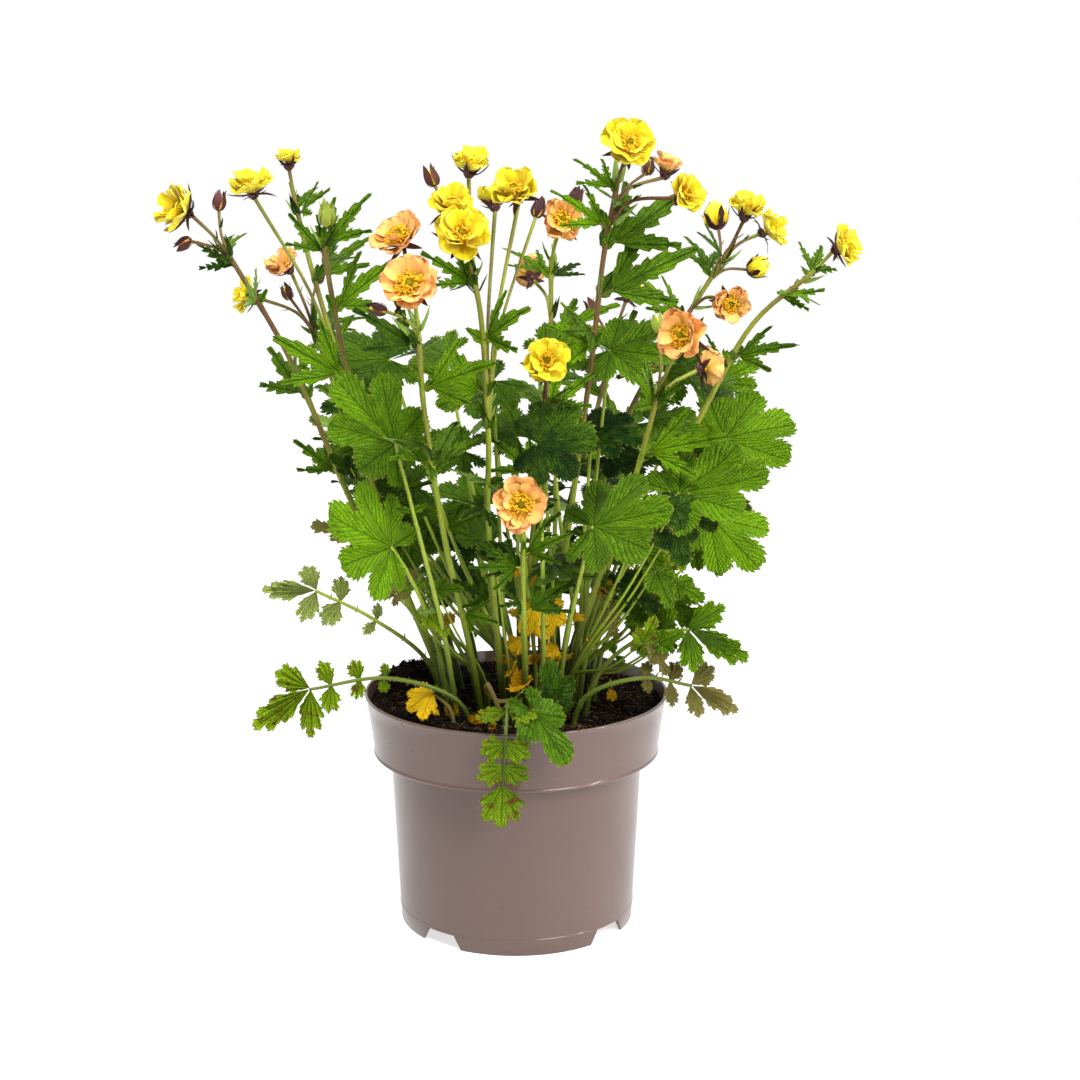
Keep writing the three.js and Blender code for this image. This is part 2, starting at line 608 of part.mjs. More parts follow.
function addBlade(name, makeBlade) {
  nodes.get(name).blades.push({ body: makeBlade(0), twin: makeBlade(KEEP_CLEAR) });
}

function curveThrough(points) {
  return points.length > 2
    ? new THREE.CatmullRomCurve3(points, false, "centripetal")
    : new THREE.LineCurve3(points[0], points[1]);
}

function shareAtHeight(curve, height) {
  let low = 0;
  let high = 1;
  for (let i = 0; i < 30; i++) {
    const middle = (low + high) / 2;
    if (curve.getPointAt(middle).z < height) {
      low = middle;
    } else {
      high = middle;
    }
  }
  return low;
}

// A flower's stalk leaves the axis along it before it bends over to its own way
function pedicel(axis, height, end) {
  const share = shareAtHeight(axis, height);
  const start = axis.getPointAt(share);
  const lean = axis.getTangentAt(share).multiplyScalar(start.distanceTo(end) * PEDICEL_LEAN);
  return curveThrough([start, start.clone().lerp(end, PEDICEL_BEND).add(lean), end]);
}

function addStem(key, spec) {
  const name = `stem_${key}`;
  addNode(name, COLOURS.stem);
  const axis = curveThrough(spec.way.map(point));
  addTube(name, axis, STEM_RADIUS, STALK_SIDES, STEM_STEPS);
  spec.blooms.forEach(([centreList, facingList, radius, colour, height], i) => {
    const centre = point(centreList);
    const facing = point(facingList).normalize();
    const bloomName = `bloom_${key}_${i + 1}`;
    addNode(bloomName, COLOURS[colour]);
    const body = bloom(centre, facing, radius);
    addFirm(bloomName, body, hullTwin(body));
    const sepals = calyx(centre, facing, radius);
    addFirm(name, sepals, hullTwin(sepals));
    const end = centre.clone().addScaledVector(facing, -PEDICEL_SINK);
    addTube(name, pedicel(axis, height, end), PEDICEL_RADIUS, PEDICEL_SIDES, 3);
  });
  spec.buds.forEach(([centreList, facingList, length, height]) => {
    const centre = point(centreList);
    const facing = point(facingList).normalize();
    const body = bud(centre, facing, length);
    addFirm(name, body, hullTwin(body));
    const end = centre.clone().addScaledVector(facing, length * BUD_FOOT);
    addTube(name, pedicel(axis, height, end), PEDICEL_RADIUS, PEDICEL_SIDES, 2);
  });
  spec.leaves.forEach(([height, turnDegrees, riseDegrees, length]) => {
    const turn = THREE.MathUtils.degToRad(turnDegrees);
    const rise = THREE.MathUtils.degToRad(riseDegrees);
    const along = new THREE.Vector3(
      Math.cos(turn) * Math.cos(rise), Math.sin(turn) * Math.cos(rise), Math.sin(rise));
    const at = axis.getPointAt(shareAtHeight(axis, height));
    addBlade(name, (grow) => stemLeaf(at, along, length, grow));
  });
}

// The round part of a basal leaf's stalk, which ends just inside its rib
function roundStalk(stalk, spec) {
  const share = (ribStart(stalk, spec) + 1.5) / stalk.getLength();
  const points = [];
  for (let i = 0; i <= LEAF_STALK_STEPS; i++) {
    points.push(stalk.getPointAt((share * i) / LEAF_STALK_STEPS));
  }
  return curveThrough(points);
}

function addBasalLeaf(name, spec) {
  addNode(name, name.startsWith("withered") ? COLOURS.withered : COLOURS.leaf);
  const stalk = curveThrough(spec.way.map(point));
  addTube(name, roundStalk(stalk, spec), LEAF_STALK_RADIUS, STALK_SIDES, LEAF_STALK_STEPS);
  addBlade(name, (grow) => basalBlade(stalk, spec, grow));
}

function boxesMeet(a, b) {
  return [0, 1, 2].every((axis) => a.min[axis] < b.max[axis] && b.min[axis] < a.max[axis]);
}

// A blade without what would meet another node, as far as it still hangs on its stalk
function cutBack(name, blade, stalkBody) {
  let result = blade;
  for (const other of keepOuts) {
    if (other.name !== name && boxesMeet(result.boundingBox(), other.box)) {
      result = result.subtract(other.twin);
      if (result.isEmpty()) {
        return null;
      }
    }
  }
  const held = result.decompose().filter((piece) => !piece.intersect(stalkBody).isEmpty());
  return held.length ? held.sort((a, b) => b.volume() - a.volume())[0] : null;
}

function joinNode(name) {
  const { firm, blades } = nodes.get(name);
  let body = firm.reduce((sum, part) => sum.add(part));
  for (const leaf of blades) {
    const left = cutBack(name, leaf.body, body);
    if (left) {
      keepOuts.push({ name, twin: leaf.twin, box: leaf.twin.boundingBox() });
      body = body.add(left);
    }
  }
  return largestBody(body).simplify(SMALLEST_FEATURE);
}

function potBody() {
  const rimLow = POT_HEIGHT - RIM_DEPTH;
  const profile = [
    [0, FLOOR_UNDERSIDE], [BASE_RADIUS - WALL - 1.4, FLOOR_UNDERSIDE], [BASE_RADIUS - WALL, 0],
    [BASE_RADIUS, 0], [NECK_RADIUS, rimLow - 1], [RIM_FOOT_RADIUS - 1.2, rimLow - 0.6],
    [RIM_FOOT_RADIUS, rimLow + 0.8], [RIM_RADIUS - 0.8, POT_HEIGHT - 2], [RIM_RADIUS, POT_HEIGHT - 1.2],
    [RIM_RADIUS, POT_HEIGHT], [RIM_RADIUS - WALL, POT_HEIGHT], [RIM_FOOT_RADIUS - WALL, rimLow + 1.4],
    [NECK_RADIUS - WALL, rimLow + 0.4], [BASE_RADIUS - WALL + 0.5, FLOOR_UNDERSIDE + FLOOR_THICKNESS],
    [0, FLOOR_UNDERSIDE + FLOOR_THICKNESS],
  ];
  let body = solid(lathe(profile, POT_SEGMENTS));
  const notch = new THREE.Shape();
  notch.moveTo(-NOTCH_WIDTH_LOW / 2, -1);
  notch.lineTo(NOTCH_WIDTH_LOW / 2, -1);
  notch.lineTo(NOTCH_WIDTH_HIGH / 2, NOTCH_HEIGHT - 1.4);
  notch.lineTo(-NOTCH_WIDTH_HIGH / 2, NOTCH_HEIGHT - 1.4);
  for (let i = 0; i < NOTCH_COUNT; i++) {
    const turn = THREE.MathUtils.degToRad(NOTCH_FIRST_TURN) + (2 * Math.PI * i) / NOTCH_COUNT;
    const cutter = new THREE.ExtrudeGeometry(notch, { depth: 20, bevelEnabled: false });
    cutter.rotateX(Math.PI / 2).translate(0, BASE_RADIUS + 8, 0).rotateZ(turn - Math.PI / 2);
    body = body.subtract(solid(cutter));
  }
  for (let i = 0; i < NOTCH_COUNT; i++) {
    const turn = (2 * Math.PI * (i + 0.25)) / NOTCH_COUNT;
    const drain = new THREE.CylinderGeometry(DRAIN_RADIUS, DRAIN_RADIUS, 5 * FLOOR_THICKNESS,
      DRAIN_SIDES);
    drain.rotateX(Math.PI / 2);
    drain.translate(DRAIN_RING_RADIUS * Math.cos(turn), DRAIN_RING_RADIUS * Math.sin(turn),
      FLOOR_UNDERSIDE);
    body = body.subtract(solid(drain));
  }
  return body;
}

// Height of the compost's surface: level round the crown of the plant, with a heap against the
// rim at the back left
function compostHeight(x, y) {
  if (Math.hypot(x, y) < CROWN_RADIUS + 1) {
    return COMPOST_LEVEL + CROWN_RISE;
  }
  const heap = HEAP.height * Math.exp(-((x - HEAP.x) ** 2 + (y - HEAP.y) ** 2) / HEAP.spread ** 2);
  return COMPOST_LEVEL + heap + RIPPLE * Math.sin(x * 0.11 + 0.6) * Math.cos(y * 0.13);
}

function compostBody() {
  const rimLow = POT_HEIGHT - RIM_DEPTH;
  const floor = FLOOR_UNDERSIDE + FLOOR_THICKNESS + GAP;
  const edge = RIM_RADIUS - WALL - 1.8;
  const profile = [
    [0, floor], [BASE_RADIUS - WALL - 0.2, floor], [NECK_RADIUS - WALL - 0.7, rimLow],
    [NECK_RADIUS - WALL - 0.7, rimLow + 1.8], [RIM_FOOT_RADIUS - WALL - 0.8, rimLow + 2.2],
    [edge, COMPOST_LEVEL], [(edge + CROWN_RADIUS) / 2, COMPOST_LEVEL],
    [CROWN_RADIUS, COMPOST_LEVEL], [0, COMPOST_LEVEL],
  ];
  const geometry = lathe(profile, COMPOST_SEGMENTS);
  const position = geometry.attributes.position;
  for (let i = 0; i < position.count; i++) {
    if (position.getZ(i) > COMPOST_LEVEL - 0.5) {
      position.setZ(i, Math.min(compostHeight(position.getX(i), position.getY(i)), POT_HEIGHT + 1));
    }
  }
  return solid(geometry);
}

// One plain straight hole round each foot, as wide as the foot's own bend asks
function footHole(stalk, radius, steps) {
  const foot = stalk.getPointAt(0);
  const corners = [foot];
  const mouthHeight = COMPOST_LEVEL + HOLE_MOUTH;
  for (let i = 1; corners[corners.length - 1].z < mouthHeight; i++) {
    corners.push(stalk.getPointAt(i / steps));
  }
  const last = corners.length - 1;
  const share = (mouthHeight - corners[last - 1].z) / (corners[last].z - corners[last - 1].z);
  const mouth = corners[last - 1].clone().lerp(corners[last], share);
  const up = mouth.clone().sub(foot).normalize();
  const bend = Math.max(...corners.slice(1, last).map((corner) => {
    const from = corner.clone().sub(foot);
    return from.addScaledVector(up, -from.dot(up)).length();
  }), 0);
  foot.addScaledVector(up, -2 * GAP);
  mouth.addScaledVector(up, HOLE_MOUTH);
  const holeRadius = (radius + bend + GAP) / Math.cos(Math.PI / HOLE_SIDES);
  return tube(new THREE.LineCurve3(foot, mouth), holeRadius, HOLE_SIDES, 1);
}

function compostWithHoles() {
  const wayOf = (spec) => curveThrough(spec.way.map(point));
  const holes = [
    ...Object.values(STEMS).map((spec) => footHole(wayOf(spec), STEM_RADIUS, STEM_STEPS)),
    ...Object.values(LEAVES).map((spec) => footHole(
      roundStalk(wayOf(spec), spec), LEAF_STALK_RADIUS, LEAF_STALK_STEPS)),
  ];
  return holes.reduce((body, hole) => body.subtract(hole), compostBody());
}

addNode("pot", COLOURS.pot);
addNode("compost", COLOURS.compost);
Object.entries(STEMS).forEach(([key, spec]) => addStem(key, spec));
Object.entries(LEAVES).forEach(([name, spec]) => addBasalLeaf(name, spec));

const plant = new THREE.Group();

function addMesh(name, body) {
  const mesh = body.getMesh();
  const geometry = new THREE.BufferGeometry();
  geometry.setAttribute("position", new THREE.Float32BufferAttribute(mesh.vertProperties, 3));
  geometry.setIndex([...mesh.triVerts]);
  const { color, roughness } = nodes.get(name).look;
  const material = new THREE.MeshStandardMaterial({ color, roughness, metalness: 0, flatShading: true });
  const piece = new THREE.Mesh(geometry, material);
  piece.name = name;
  plant.add(piece);
}

addMesh("pot", potBody());
addMesh("compost", compostWithHoles());
for (const name of nodes.keys()) {
  if (name !== "pot" && name !== "compost") {
    addMesh(name, joinNode(name));
  }
}

export default plant;
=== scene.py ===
"""Potted water avens: the fine model. Lengths are millimetres until a piece is made."""

import math

import bpy
import numpy as np
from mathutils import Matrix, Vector, noise


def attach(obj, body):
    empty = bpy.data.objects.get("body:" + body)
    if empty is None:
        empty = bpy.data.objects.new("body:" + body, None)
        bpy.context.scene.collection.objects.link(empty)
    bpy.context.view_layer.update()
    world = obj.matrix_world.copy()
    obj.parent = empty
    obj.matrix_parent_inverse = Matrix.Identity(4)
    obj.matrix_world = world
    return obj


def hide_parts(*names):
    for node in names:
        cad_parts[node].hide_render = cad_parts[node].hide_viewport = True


MM = 0.001
FULL_TURN = 2 * math.pi
# The turn from one style of a bloom to the next
GOLDEN_TURN = 2.39996

# Pot
POT_HEIGHT = 148
RIM_RADIUS = 95
RIM_LOW = 111
NECK_RADIUS = 79.5
BASE_RADIUS = 74
WALL = 1.4
FLOOR_UNDERSIDE = 9.4
FLOOR_TOP = 11
POT_SEGMENTS = 160
POT_CREASE = 32
NOTCH_TURNS = (231, 321, 51, 141)
NOTCH = [(-16, -1), (16, -1), (10.5, 9), (-10.5, 9)]
NOTCH_DEPTH = (62, 82)
DRAIN_TURNS = (22.5, 112.5, 202.5, 292.5)
DRAIN_SIDES = 28
DRAIN_RADIUS = 6
DRAIN_RING_RADIUS = 46

# Compost
COMPOST_LEVEL = 140
CROWN_RADIUS = 60
CROWN_RISE = 1
HEAP_X = -70
HEAP_Y = 42
HEAP_HEIGHT = 13
HEAP_SPREAD = 26
RIPPLE = 1.2
COMPOST_RINGS = 72
COMPOST_SEGMENTS = 240
LUMPS = 2300
LUMP_LARGEST = 2.2
FIBRES = 2400
DIRT_GRAINS = 150

# Stalks
STEM_RADIUS = 1.9
PEDICEL_RADIUS = 1.1
BUD_PEDICEL_RADIUS = 0.935
LEAF_STALK_RADIUS = 1.6
PEDICEL_LEAN = 0.21
PEDICEL_BEND = 0.25
PEDICEL_SINK = 3.6
BUD_FOOT = 0.3
SMALL_BLOOM_RADIUS = 12.7
STALK_FOOT_LEVEL = 134

# Flowering stems. way is the main axis from its foot in the compost to its top.
# blooms: [centre, facing, radius, colour, height at which the pedicel leaves the axis].
# buds: [centre, facing, length, height at which the pedicel leaves the axis].
# leaves: [height, turn in degrees from +X, rise in degrees, length].
STEMS = {
    "far_left": {
        "way": [[-34, -3, 121], [-48, -5, 168], [-98, -12, 265], [-137, -16, 362], [-172, -19, 425]],
        "blooms": [[[-193, -30, 447], [-0.8, -0.45, 0.4], 16, "yellow", 418]],
        "buds": [[[-196, -18, 428], [-0.8, 0.1, -0.5], 10, 416],
                 [[-176, -10, 452], [0.1, 0.2, 1], 11, 420]],
        "leaves": [[423, 95, 30, 24], [392, 250, 35, 31], [334, 150, 45, 44], [288, 190, 40, 34]],
    },
    "left_pair": {
        "way": [[-33, 8, 121], [-48, 12, 171], [-89, 24, 278], [-109, 33, 345], [-129, 42, 413],
                [-140, 46, 462]],
        "blooms": [[[-161, 26, 457], [-0.15, -0.25, 1], 16, "yellow", 345],
                   [[-141, 46, 474], [0, -0.2, 1], 9, "yellow", 440]],
        "buds": [],
        "leaves": [[446, 60, 40, 24], [400, 15, 45, 47], [356, 110, 30, 45], [300, 125, 35, 48]],
    },
    "left_back": {
        "way": [[-31, 20, 121], [-44, 27, 174], [-68, 42, 224], [-102, 62, 290], [-134, 84, 373]],
        "blooms": [[[-150, 98, 405], [-0.5, -0.4, 0.6], 12, "apricot", 368],
                   [[-171, 80, 388], [-0.95, -0.2, 0.25], 13, "yellow", 362]],
        "buds": [[[-147, 72, 391], [-0.3, -0.3, 0.9], 10, 352],
                 [[-131, 108, 398], [0.3, 0.5, 0.8], 11, 364]],
        "leaves": [[366, 20, 20, 35], [322, 95, 30, 52], [285, 150, 40, 42]],
    },
    "left_front": {
        "way": [[-30, -16, 121], [-50, -24, 173], [-73, -36, 239], [-91, -52, 320], [-105, -70, 409],
                [-107, -75, 432]],
        "blooms": [],
        "buds": [[[-105, -77, 447], [0.1, -0.1, 1], 13, 428]],
        "leaves": [[428, 350, 55, 40], [424, 190, 50, 31], [392, 320, 40, 50], [352, 170, 30, 52]],
    },
    "front_left": {
        "way": [[-19, -20, 121], [-27, -36, 180], [-41, -58, 255], [-51, -84, 336], [-53, -104, 391]],
        "blooms": [[[-62, -97, 434], [-0.3, -0.6, 0.7], 16, "apricot", 382],
                   [[-55, -126, 411], [-0.1, -0.85, 0.5], 18, "apricot", 386]],
        "buds": [[[-74, -112, 398], [-0.9, -0.2, 0.2], 10, 380]],
        "leaves": [[374, 190, 35, 42], [350, 330, 25, 47], [305, 250, 20, 47], [300, 75, 35, 52]],
    },
    "front": {
        "way": [[-6, -18, 121], [-10, -34, 178], [-16, -52, 270], [-15, -64, 316], [-19, -80, 394],
                [-24, -88, 420]],
        "blooms": [[[-34, -93, 451], [0.05, -0.5, 0.85], 14, "yellow", 414],
                   [[-28, -119, 437], [0.1, -0.8, 0.55], 17, "yellow", 410],
                   [[-25, -58, 472], [0.2, -0.3, 0.9], 12, "yellow", 400],
                   [[2, -62, 458], [-0.3, -0.6, 0.7], 15, "yellow", 318],
                   [[-12, -31, 452], [-0.2, 0.4, 0.85], 10, "yellow", 330]],
        "buds": [[[14, -36, 449], [0.3, 0.3, 0.9], 11, 322],
                 [[-46, -74, 468], [-0.4, 0.1, 0.9], 11, 404]],
        "leaves": [[408, 200, 35, 35], [376, 300, 30, 45], [345, 215, 25, 47], [290, 260, 20, 42]],
    },
    "back_middle": {
        "way": [[6, 12, 121], [7, 20, 180], [15, 38, 249], [20, 55, 311], [22, 72, 365],
                [22, 86, 413]],
        "blooms": [[[29, 70, 436], [0.1, -0.9, 0.35], 15, "apricot", 400],
                   [[10, 112, 398], [-0.2, 0.75, 0.5], 12, "apricot", 372]],
        "buds": [[[38, 100, 450], [0.3, 0.2, 0.9], 13, 408]],
        "leaves": [[400, 150, 35, 40], [362, 20, 30, 52], [318, 120, 25, 54], [280, 60, 25, 52]],
    },
    "middle": {
        "way": [[3, -7, 121], [4, -13, 174], [9, -26, 237], [15, -37, 295], [18, -46, 344]],
        "blooms": [[[19, -59, 362], [0.05, -0.95, 0.3], 15, "yellow", 336]],
        "buds": [],
        "leaves": [[330, 10, 40, 38], [290, 150, 35, 42]],
    },
    "low": {
        "way": [[7, -32, 121], [6, -46, 172], [5, -62, 220], [5, -76, 262]],
        "blooms": [[[4, -92, 284], [0.02, -0.97, 0.25], 17, "apricot", 258]],
        "buds": [],
        "leaves": [[250, 330, 30, 33]],
    },
    "tall": {
        "way": [[14, -1, 121], [22, -5, 175], [36, -12, 280], [46, -16, 357], [53, -20, 422],
                [61, -22, 466]],
        "blooms": [[[67, -31, 484], [0.05, -0.85, 0.5], 17.5, "yellow", 462],
                   [[90, -8, 470], [0.2, -0.15, 0.95], 10, "apricot", 446],
                   [[97, -46, 457], [0.6, -0.65, 0.35], 12.5, "yellow", 438]],
        "buds": [[[80, 12, 472], [0.1, 0.4, 0.9], 11, 440]],
        "leaves": [[458, 175, 45, 31], [436, 195, 40, 40], [424, 20, 35, 61], [396, 350, 30, 64],
                   [366, 240, 25, 47]],
    },
    "back_right": {
        "way": [[16, 14, 121], [20, 28, 185], [35, 58, 260], [54, 93, 318], [64, 116, 358]],
        "blooms": [[[74, 129, 384], [0.3, 0.45, 0.6], 14, "yellow", 350]],
        "buds": [[[50, 133, 376], [-0.4, 0.5, 0.7], 11, 344]],
        "leaves": [[350, 10, 30, 47], [322, 135, 25, 54], [282, 60, 25, 57]],
    },
    "right": {
        "way": [[24, 5, 121], [31, 8, 175], [57, 20, 287], [78, 28, 334], [109, 37, 383],
                [133, 42, 420]],
        "blooms": [[[141, 28, 443], [0.1, -0.25, 0.95], 12, "yellow", 410],
                   [[157, 56, 431], [0.8, -0.1, 0.4], 14, "yellow", 414],
                   [[130, 10, 391], [0.2, -0.75, -0.15], 13, "apricot", 384]],
        "buds": [[[126, 58, 440], [-0.2, 0.3, 0.9], 13, 404],
                 [[150, 34, 410], [0.7, -0.3, 0.5], 11, 402]],
        "leaves": [[404, 115, 45, 40], [376, 200, 50, 42], [344, 95, 25, 54], [300, 60, 30, 59]],
    },
    "right_front": {
        "way": [[27, -11, 121], [35, -18, 172], [55, -28, 238], [72, -39, 291], [85, -50, 345]],
        "blooms": [[[98, -72, 379], [-0.5, -0.8, 0.15], 16, "apricot", 340],
                   [[112, -38, 356], [0.6, 0.25, 0.1], 13, "apricot", 334]],
        "buds": [[[84, -40, 382], [-0.2, 0.2, 0.95], 11, 338]],
        "leaves": [[334, 250, 40, 40], [305, 330, 20, 52], [262, 280, 25, 50]],
    },
    "far_right": {
        "way": [[35, -1, 121], [40, -2, 171], [83, -4, 257], [116, -5, 328], [145, -8, 381],
                [178, -12, 410]],
        "blooms": [[[193, -17, 425], [0.85, -0.4, 0.35], 14, "yellow", 404]],
        "buds": [],
        "leaves": [[408, 60, 35, 35], [398, 290, 5, 31], [358, 330, 20, 42], [352, 200, 40, 31],
                   [330, 80, 30, 47]],
    },
}

# Basal leaves. way is the stalk from its foot to the base of the end leaflet, tip is that
# leaflet's tip and face points out of its upper side. pairs: [share of the stalk, length].
LEAVES = {
    "leaf_upper_left": {
        "way": [[-34, -34, 121], [-42, -46, 190], [-58, -68, 270], [-68, -82, 318]],
        "tip": [-96, -108, 356], "face": [-0.25, -0.8, 0.5], "width": 60, "pairs": [[0.78, 9]],
    },
    "leaf_left": {
        "way": [[-41, -24, 121], [-48, -34, 187], [-63, -60, 236], [-72, -76, 256]],
        "tip": [-98, -108, 282], "face": [-0.05, -0.8, 0.55], "width": 76, "pairs": [[0.74, 9]],
    },
    "leaf_middle": {
        "way": [[15, -36, 121], [17, -44, 190], [16, -54, 260], [13, -66, 316]],
        "tip": [43, -84, 322], "face": [0.1, -0.9, 0.35], "width": 58, "pairs": [[0.78, 8]],
    },
    "leaf_front_right": {
        "way": [[24, -30, 121], [30, -40, 185], [40, -62, 240], [46, -74, 268]],
        "tip": [84, -102, 286], "face": [-0.05, -0.85, 0.55], "width": 64, "pairs": [[0.76, 9]],
    },
    "leaf_far_right": {
        "way": [[44, 10, 121], [54, 12, 185], [86, 14, 252], [120, 14, 298], [130, 13, 306]],
        "tip": [174, 22, 318], "face": [0.15, -0.7, 0.65], "width": 76,
        "pairs": [[0.76, 12], [0.62, 8]],
    },
    "leaf_right": {
        "way": [[37, -22, 121], [45, -30, 185], [70, -45, 243], [97, -60, 285]],
        "tip": [144, -78, 303], "face": [0.05, -0.7, 0.65], "width": 66, "pairs": [[0.74, 20]],
    },
    "leaf_right_low": {
        "way": [[46, -10, 121], [55, -13, 180], [88, -18, 236], [118, -22, 264]],
        "tip": [147, -38, 240], "face": [0.3, -0.8, 0.5], "width": 64, "pairs": [[0.74, 12]],
    },
    "leaf_low_right": {
        "way": [[40, -34, 121], [50, -40, 168], [78, -52, 196], [104, -58, 202]],
        "tip": [138, -66, 188], "face": [0.1, -0.8, 0.6], "width": 36,
        "pairs": [[0.86, 15], [0.7, 11], [0.56, 8]],
    },
    "leaf_rim_right": {
        "way": [[32, -48, 121], [42, -54, 158], [77, -62, 173], [106, -62, 168]],
        "tip": [134, -62, 154], "face": [0.15, -0.8, 0.6], "width": 30,
        "pairs": [[0.86, 13], [0.72, 9]],
    },
    "leaf_rim_left": {
        "way": [[-24, -42, 121], [-34, -50, 154], [-76, -56, 171], [-124, -56, 164]],
        "tip": [-158, -58, 142], "face": [-0.1, -0.9, 0.45], "width": 38,
        "pairs": [[0.88, 16], [0.75, 12], [0.63, 8]],
    },
    "leaf_low_left": {
        "way": [[-44, -8, 121], [-54, -13, 168], [-88, -24, 200], [-122, -30, 219]],
        "tip": [-152, -34, 222], "face": [0, -0.75, 0.65], "width": 34,
        "pairs": [[0.86, 17], [0.68, 10]],
    },
    "leaf_over_rim": {
        "way": [[-2, -48, 121], [-3, -62, 152], [-4, -90, 163], [-5, -103, 150]],
        "tip": [-8, -110, 96], "face": [0, -0.9, 0.3], "width": 26, "pairs": [[0.8, 17], [0.62, 12]],
    },
    "leaf_folded": {
        "way": [[10, -50, 121], [13, -58, 152], [12, -84, 166], [11, -96, 162]],
        "tip": [30, -112, 140], "face": [0.1, -0.7, 0.65], "width": 34, "pairs": [],
    },
    "leaf_small_round": {
        "way": [[25, -42, 121], [26, -52, 148], [25, -60, 158]],
        "tip": [20, -72, 184], "face": [0.15, -0.8, 0.55], "width": 32, "pairs": [],
    },
    "leaf_back": {
        "way": [[4, 32, 121], [6, 44, 180], [10, 84, 236], [12, 106, 250]],
        "tip": [16, 148, 236], "face": [0.1, 0.45, 0.85], "width": 64,
        "pairs": [[0.74, 12], [0.6, 8]],
    },
    "leaf_back_left": {
        "way": [[-22, 34, 121], [-32, 46, 178], [-62, 84, 220], [-76, 100, 228]],
        "tip": [-106, 132, 212], "face": [-0.3, 0.4, 0.85], "width": 60, "pairs": [[0.74, 12]],
    },
    "withered_leaf_left": {
        "way": [[-36, -46, 121], [-40, -50, 150], [-50, -50, 160]],
        "tip": [-66, -52, 152], "face": [-0.1, -0.7, 0.7], "width": 24, "pairs": [],
    },
    "withered_leaf_middle": {
        "way": [[14, -22, 121], [15, -26, 170], [14, -30, 214]],
        "tip": [20, -40, 192], "face": [0.2, -0.9, 0.2], "width": 22,
        "pairs": [[0.8, 12], [0.55, 11]],
    },
}


# Shading


def linear(colour):
    """A colour as seen on screen, 0 to 255, as the linear colour that shaders take."""
    shares = np.array(colour) / 255
    return (*np.where(shares <= 0.04045, shares / 12.92, ((shares + 0.055) / 1.055) ** 2.4), 1.0)


class Wire:
    """The output of a shader node. Arithmetic on it makes more nodes."""

    def __init__(self, shade, socket):
        self.shade = shade
        self.socket = socket

    def __add__(self, other):
        return self.shade.math("ADD", self, other)

    def __sub__(self, other):
        return self.shade.math("SUBTRACT", self, other)

    def __mul__(self, other):
        return self.shade.math("MULTIPLY", self, other)

    def remap(self, low, high, to_low=0.0, to_high=1.0):
        return self.shade.node("MapRange", 0, (self, low, high, to_low, to_high),
                               interpolation_type="SMOOTHSTEP")


class Shade:
    """The nodes of one material, with short ways to make the ones used here."""

    def __init__(self, name, roughness, specular, **more):
        self.material = bpy.data.materials.new(name)
        self.material.use_nodes = True
        self.tree = self.material.node_tree
        self.surface = self.tree.nodes["Principled BSDF"]
        self.set(roughness=roughness, specular_ior_level=specular, **more)
        self.place = self.node("TexCoord", "Object")

    def set(self, **values):
        for name, value in values.items():
            socket = name.replace("_", " ").title().replace("Ior", "IOR")
            self.plug(self.surface.inputs[socket], value)

    def plug(self, socket, value):
        """Gives a socket a number, a screen colour or the wire of another node."""
        if isinstance(value, Wire):
            self.tree.links.new(value.socket, socket)
        else:
            socket.default_value = linear(value) if socket.type == "RGBA" else value

    def node(self, kind, output, inputs=(), **settings):
        """The output of a new node, whose inputs go by number or name."""
        node = self.tree.nodes.new("ShaderNode" + kind)
        for name, value in settings.items():
            setattr(node, name, value)
        for key, value in inputs.items() if isinstance(inputs, dict) else enumerate(inputs):
            self.plug(node.inputs[key], value)
        return Wire(self, node.outputs[output])

    def math(self, operation, a, b):
        return self.node("Math", 0, (a, b), operation=operation)

    def mix(self, share, a, b):
        return self.node("Mix", 2, {0: share, 6: a, 7: b}, data_type="RGBA")

    def value(self, name):
        return self.node("Attribute", "Fac", attribute_name=name)

    def height(self):
        return self.node("SeparateXYZ", "Z", (self.place,))

    def stretched(self, x, y, z):
        return self.node("Mapping", 0, {"Vector": self.place, "Scale": (x, y, z)})

    def noise(self, scale, detail, place=None):
        return self.node("TexNoise", "Fac", {"Vector": place or self.place, "Scale": scale,
                                             "Detail": detail})

    def cells(self, scale):
        return self.node("TexVoronoi", "Distance", {"Vector": self.place, "Scale": scale},
                         feature="DISTANCE_TO_EDGE")

    def finish(self, colour, height, depth, strength):
        """The material with this colour and a relief of this depth in mm."""
        relief = {"Strength": strength, "Distance": depth * MM, "Height": height}
        self.set(base_color=colour, normal=self.node("Bump", 0, relief))
        return self.material


def shade_pot():
    shade = Shade("pot_plastic", 0.34, 0.3, coat_weight=0.5, coat_roughness=0.12)
    broad = shade.noise(9, 3)
    body = shade.mix(broad, (88, 67, 59), (95, 73, 65))
    scuffs = shade.noise(1, 4, shade.stretched(60, 60, 420)).remap(0.71, 0.78)
    scuffed = shade.mix(scuffs * 0.25, body, (140, 120, 112))
    specks = shade.noise(330, 2).remap(0.67, 0.71)
    return shade.finish(shade.mix(specks * 0.6, scuffed, (84, 66, 56)),
                        shade.noise(900, 2) * 0.3 + broad, 0.5, 0.12)


def shade_compost():
    shade = Shade("compost", 0.93, 0.08)
    clods = shade.noise(160, 6)
    dark = shade.mix(clods.remap(0.3, 0.75), (2, 1, 1), (24, 17, 12))
    fibres = shade.noise(1, 3, shade.stretched(900, 260, 700)).remap(0.58, 0.68)
    return shade.finish(shade.mix(fibres * 0.5, dark, (76, 56, 36)),
                        shade.noise(700, 4) + clods, 1.2, 0.8)


def shade_crumbs():
    shade = Shade("compost_crumbs", 0.92, 0.08)
    dark = shade.mix(shade.noise(500, 3), (5, 4, 3), (34, 25, 17))
    pale = shade.value("tone").remap(0.2, 1.0)
    return shade.finish(shade.mix(pale, dark, (112, 84, 52)), shade.noise(1200, 3), 0.5, 0.8)


